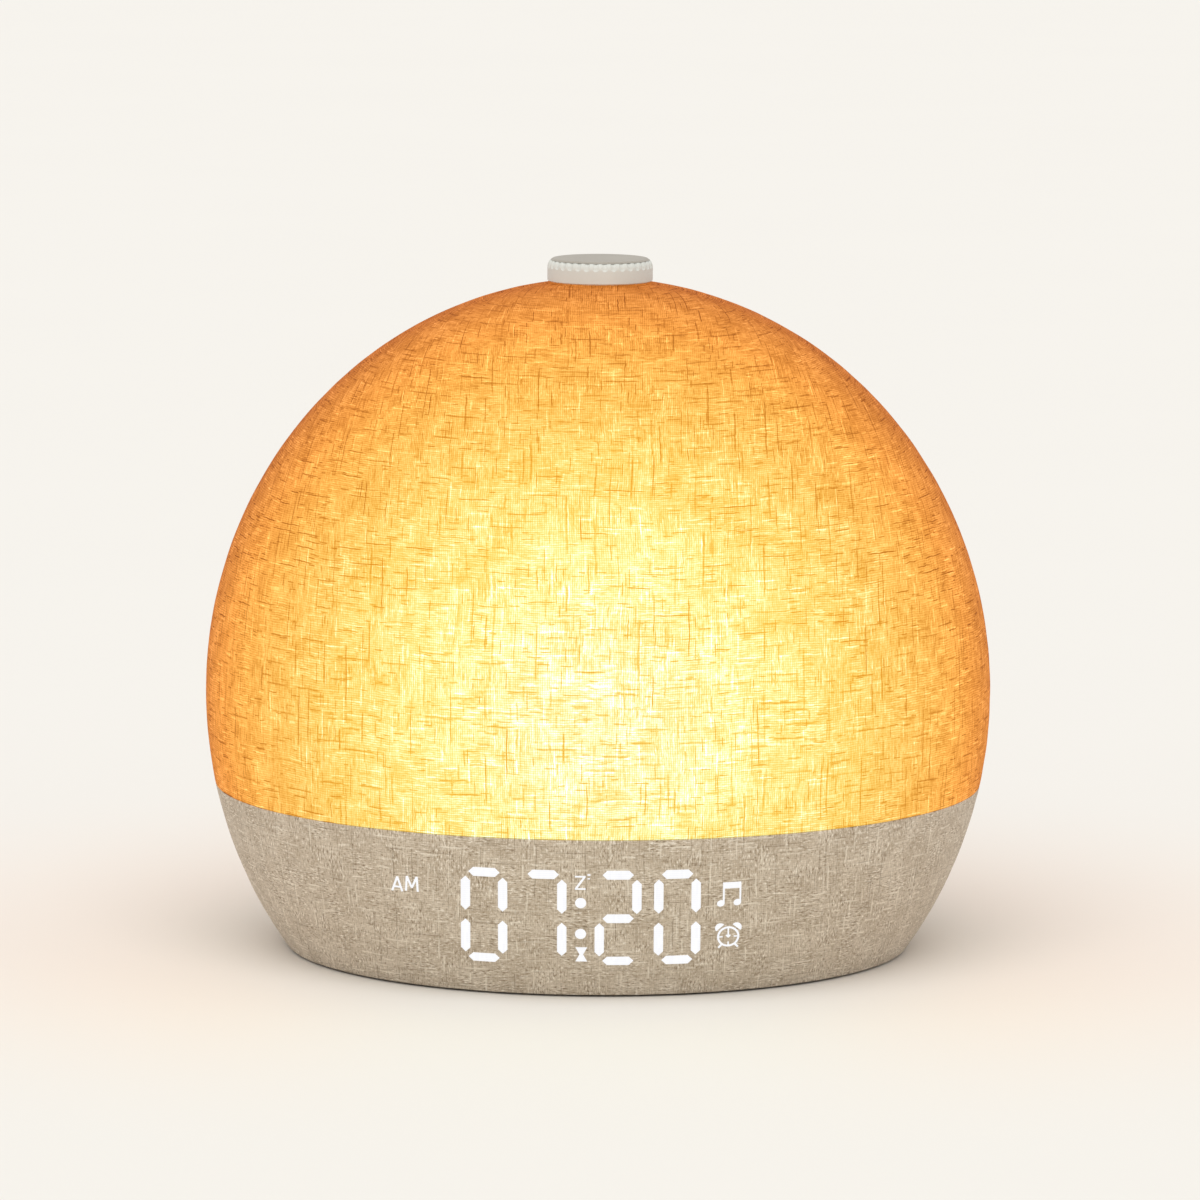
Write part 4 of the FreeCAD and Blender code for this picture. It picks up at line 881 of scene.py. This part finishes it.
def alarm_shapes():
    """Small alarm clock with bells, feet, ticks and hands."""
    x, z, radius = 0.03072, 0.01514, 0.00238
    rim_width, foot_width, tick_width, hand_width = 0.00050, 0.0005, 0.00032, 0.0004
    tick_start, tick_end = 0.0013, 0.0021
    bell_x, bell_z, bell_radius, bell_steps = 0.00292, 0.00305, 0.00122, 12
    shapes = arc_band(x, z, radius, rim_width, 0, 360, 40)
    for side in (-1, 1):
        lean = math.radians(90 - side * 41)
        middle = x + bell_x * math.cos(lean), z + bell_z * math.sin(lean)
        start = math.degrees(lean) - 90
        turns = [math.radians(start + 180 * i / bell_steps) for i in range(bell_steps + 1)]
        shapes.append([at_angle(*middle, bell_radius, turn) for turn in turns])
        foot = math.radians(270 + side * 38)
        foot_end = x + 0.0034 * math.cos(foot + side * 0.08), z + 0.0036 * math.sin(foot)
        shapes.append(stroke(at_angle(x, z, 0.0024, foot), foot_end, foot_width))
        shapes.append(stroke((x + side * tick_start, z), (x + side * tick_end, z), tick_width))
    shapes.append(stroke((x, z - tick_end), (x, z - tick_start), tick_width))
    shapes.append(stroke((x, z + tick_end), (x, z - 0.0001), 0.00036))
    shapes.append(stroke((x - 0.0005, z + 0.0004), (x + 0.0001, z - 0.0002), hand_width))
    shapes.append(stroke((x + 0.0005, z + 0.0004), (x - 0.0001, z - 0.0002), hand_width))
    return shapes


def lies_flat(edge):
    """Whether an edge of a patch stays on its front or on its back."""
    start, end = edge.verts
    return abs(start.co.y - end.co.y) < back_mark / 2


def glyph_patch(made, shape):
    """Thin patch of one convex shape, its front at y 0 and its back at back_mark, to be bent later."""
    verts = [made.verts.new((x, 0.0, z)) for x, z in shape]
    face = made.faces.new(verts)
    grown = bmesh.ops.extrude_face_region(made, geom=[face])
    back = {v for v in grown["geom"] if isinstance(v, bmesh.types.BMVert)}
    for v in back:
        v.co.y = back_mark
    edges = {e for v in verts + list(back) for e in v.link_edges}
    flat = [e for e in edges if lies_flat(e)]
    cuts = min(glyph_cuts, int(max(e.calc_length() for e in flat) / glyph_step))
    if cuts:
        bmesh.ops.subdivide_edges(made, edges=flat, cuts=cuts, use_grid_fill=True)


def lit_display():
    """Time and signs as light on the band's cloth."""
    half_spread = (digit_pitch + colon_room) / 2
    middle = digits_middle_x - digit_width / 2
    shifts = (-half_spread - digit_pitch, -half_spread, half_spread, half_spread + digit_pitch)
    lefts = [middle + shift for shift in shifts]
    shapes = [shape for left, lit in zip(lefts, shown_digits) for shape in digit_shapes(left, lit)]
    for side in (-1, 1):
        shapes.append(round_shape(digits_middle_x, digit_middle + side * dot_spread, dot_radius))
    shapes += am_shapes() + doze_shapes() + music_shapes() + alarm_shapes()
    made = bmesh.new()
    for shape in shapes:
        glyph_patch(made, shape)
    for v in made.verts:
        proud = glyph_proud if v.co.y < back_mark / 2 else glyph_proud - glyph_depth
        v.co = on_cloth(v.co.x, v.co.z, proud)
    bmesh.ops.triangulate(made, faces=[f for f in made.faces if len(f.verts) > 4])
    piece = scene_piece("lit_display", made)
    piece.data.materials.append(display_light())
    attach(piece, "clock")
    return piece


# Studio
def studio_ground():
    """Wide flat floor."""
    floor_mesh = bpy.data.meshes.new("studio_floor")
    corners = [(x * floor_reach, y * floor_reach, 0) for x, y in ((-1, -1), (1, -1), (1, 1), (-1, 1))]
    floor_mesh.from_pydata(corners, [], [(0, 1, 2, 3)])
    floor = bpy.data.objects.new("studio_floor", floor_mesh)
    floor_mesh.materials.append(studio_floor())
    bpy.context.scene.collection.objects.link(floor)


def studio_light():
    """Pale sky all round and one soft sun."""
    world = bpy.data.worlds.new("studio_world")
    world.use_nodes = True
    sky = world.node_tree.nodes["Background"]
    sky.inputs["Color"].default_value = sky_colour
    sky.inputs["Strength"].default_value = sky_strength
    bpy.context.scene.world = world

    sun = bpy.data.lights.new("soft_key", "SUN")
    sun.energy = sun_strength
    sun.angle = sun_angle
    sun.color = sun_colour
    key = bpy.data.objects.new("soft_key", sun)
    key.rotation_euler = Vector(sun_direction).to_track_quat("-Z", "Y").to_euler()
    bpy.context.scene.collection.objects.link(key)


def studio_camera():
    """Long lens at the photograph's viewing angle."""
    lens = bpy.data.cameras.new("camera")
    lens.sensor_width = sensor_width
    lens.lens = sensor_width * focal_pixels / frame_pixels
    lens.clip_start = near_limit
    lens.clip_end = far_limit
    camera = bpy.data.objects.new("camera", lens)
    back = Vector((0.0, -math.cos(camera_elevation), math.sin(camera_elevation)))
    camera.location = camera_target + back * camera_distance
    turn = (-back).to_track_quat("-Z", "Y") @ Quaternion((0, 0, 1), camera_roll)
    camera.rotation_euler = turn.to_euler()
    bpy.context.scene.collection.objects.link(camera)
    bpy.context.scene.camera = camera
    bpy.context.scene.view_settings.view_transform = "Standard"


dress_nodes()
dome_cloth()
base_cloth()
lit_display()
studio_ground()
studio_light()
studio_camera()
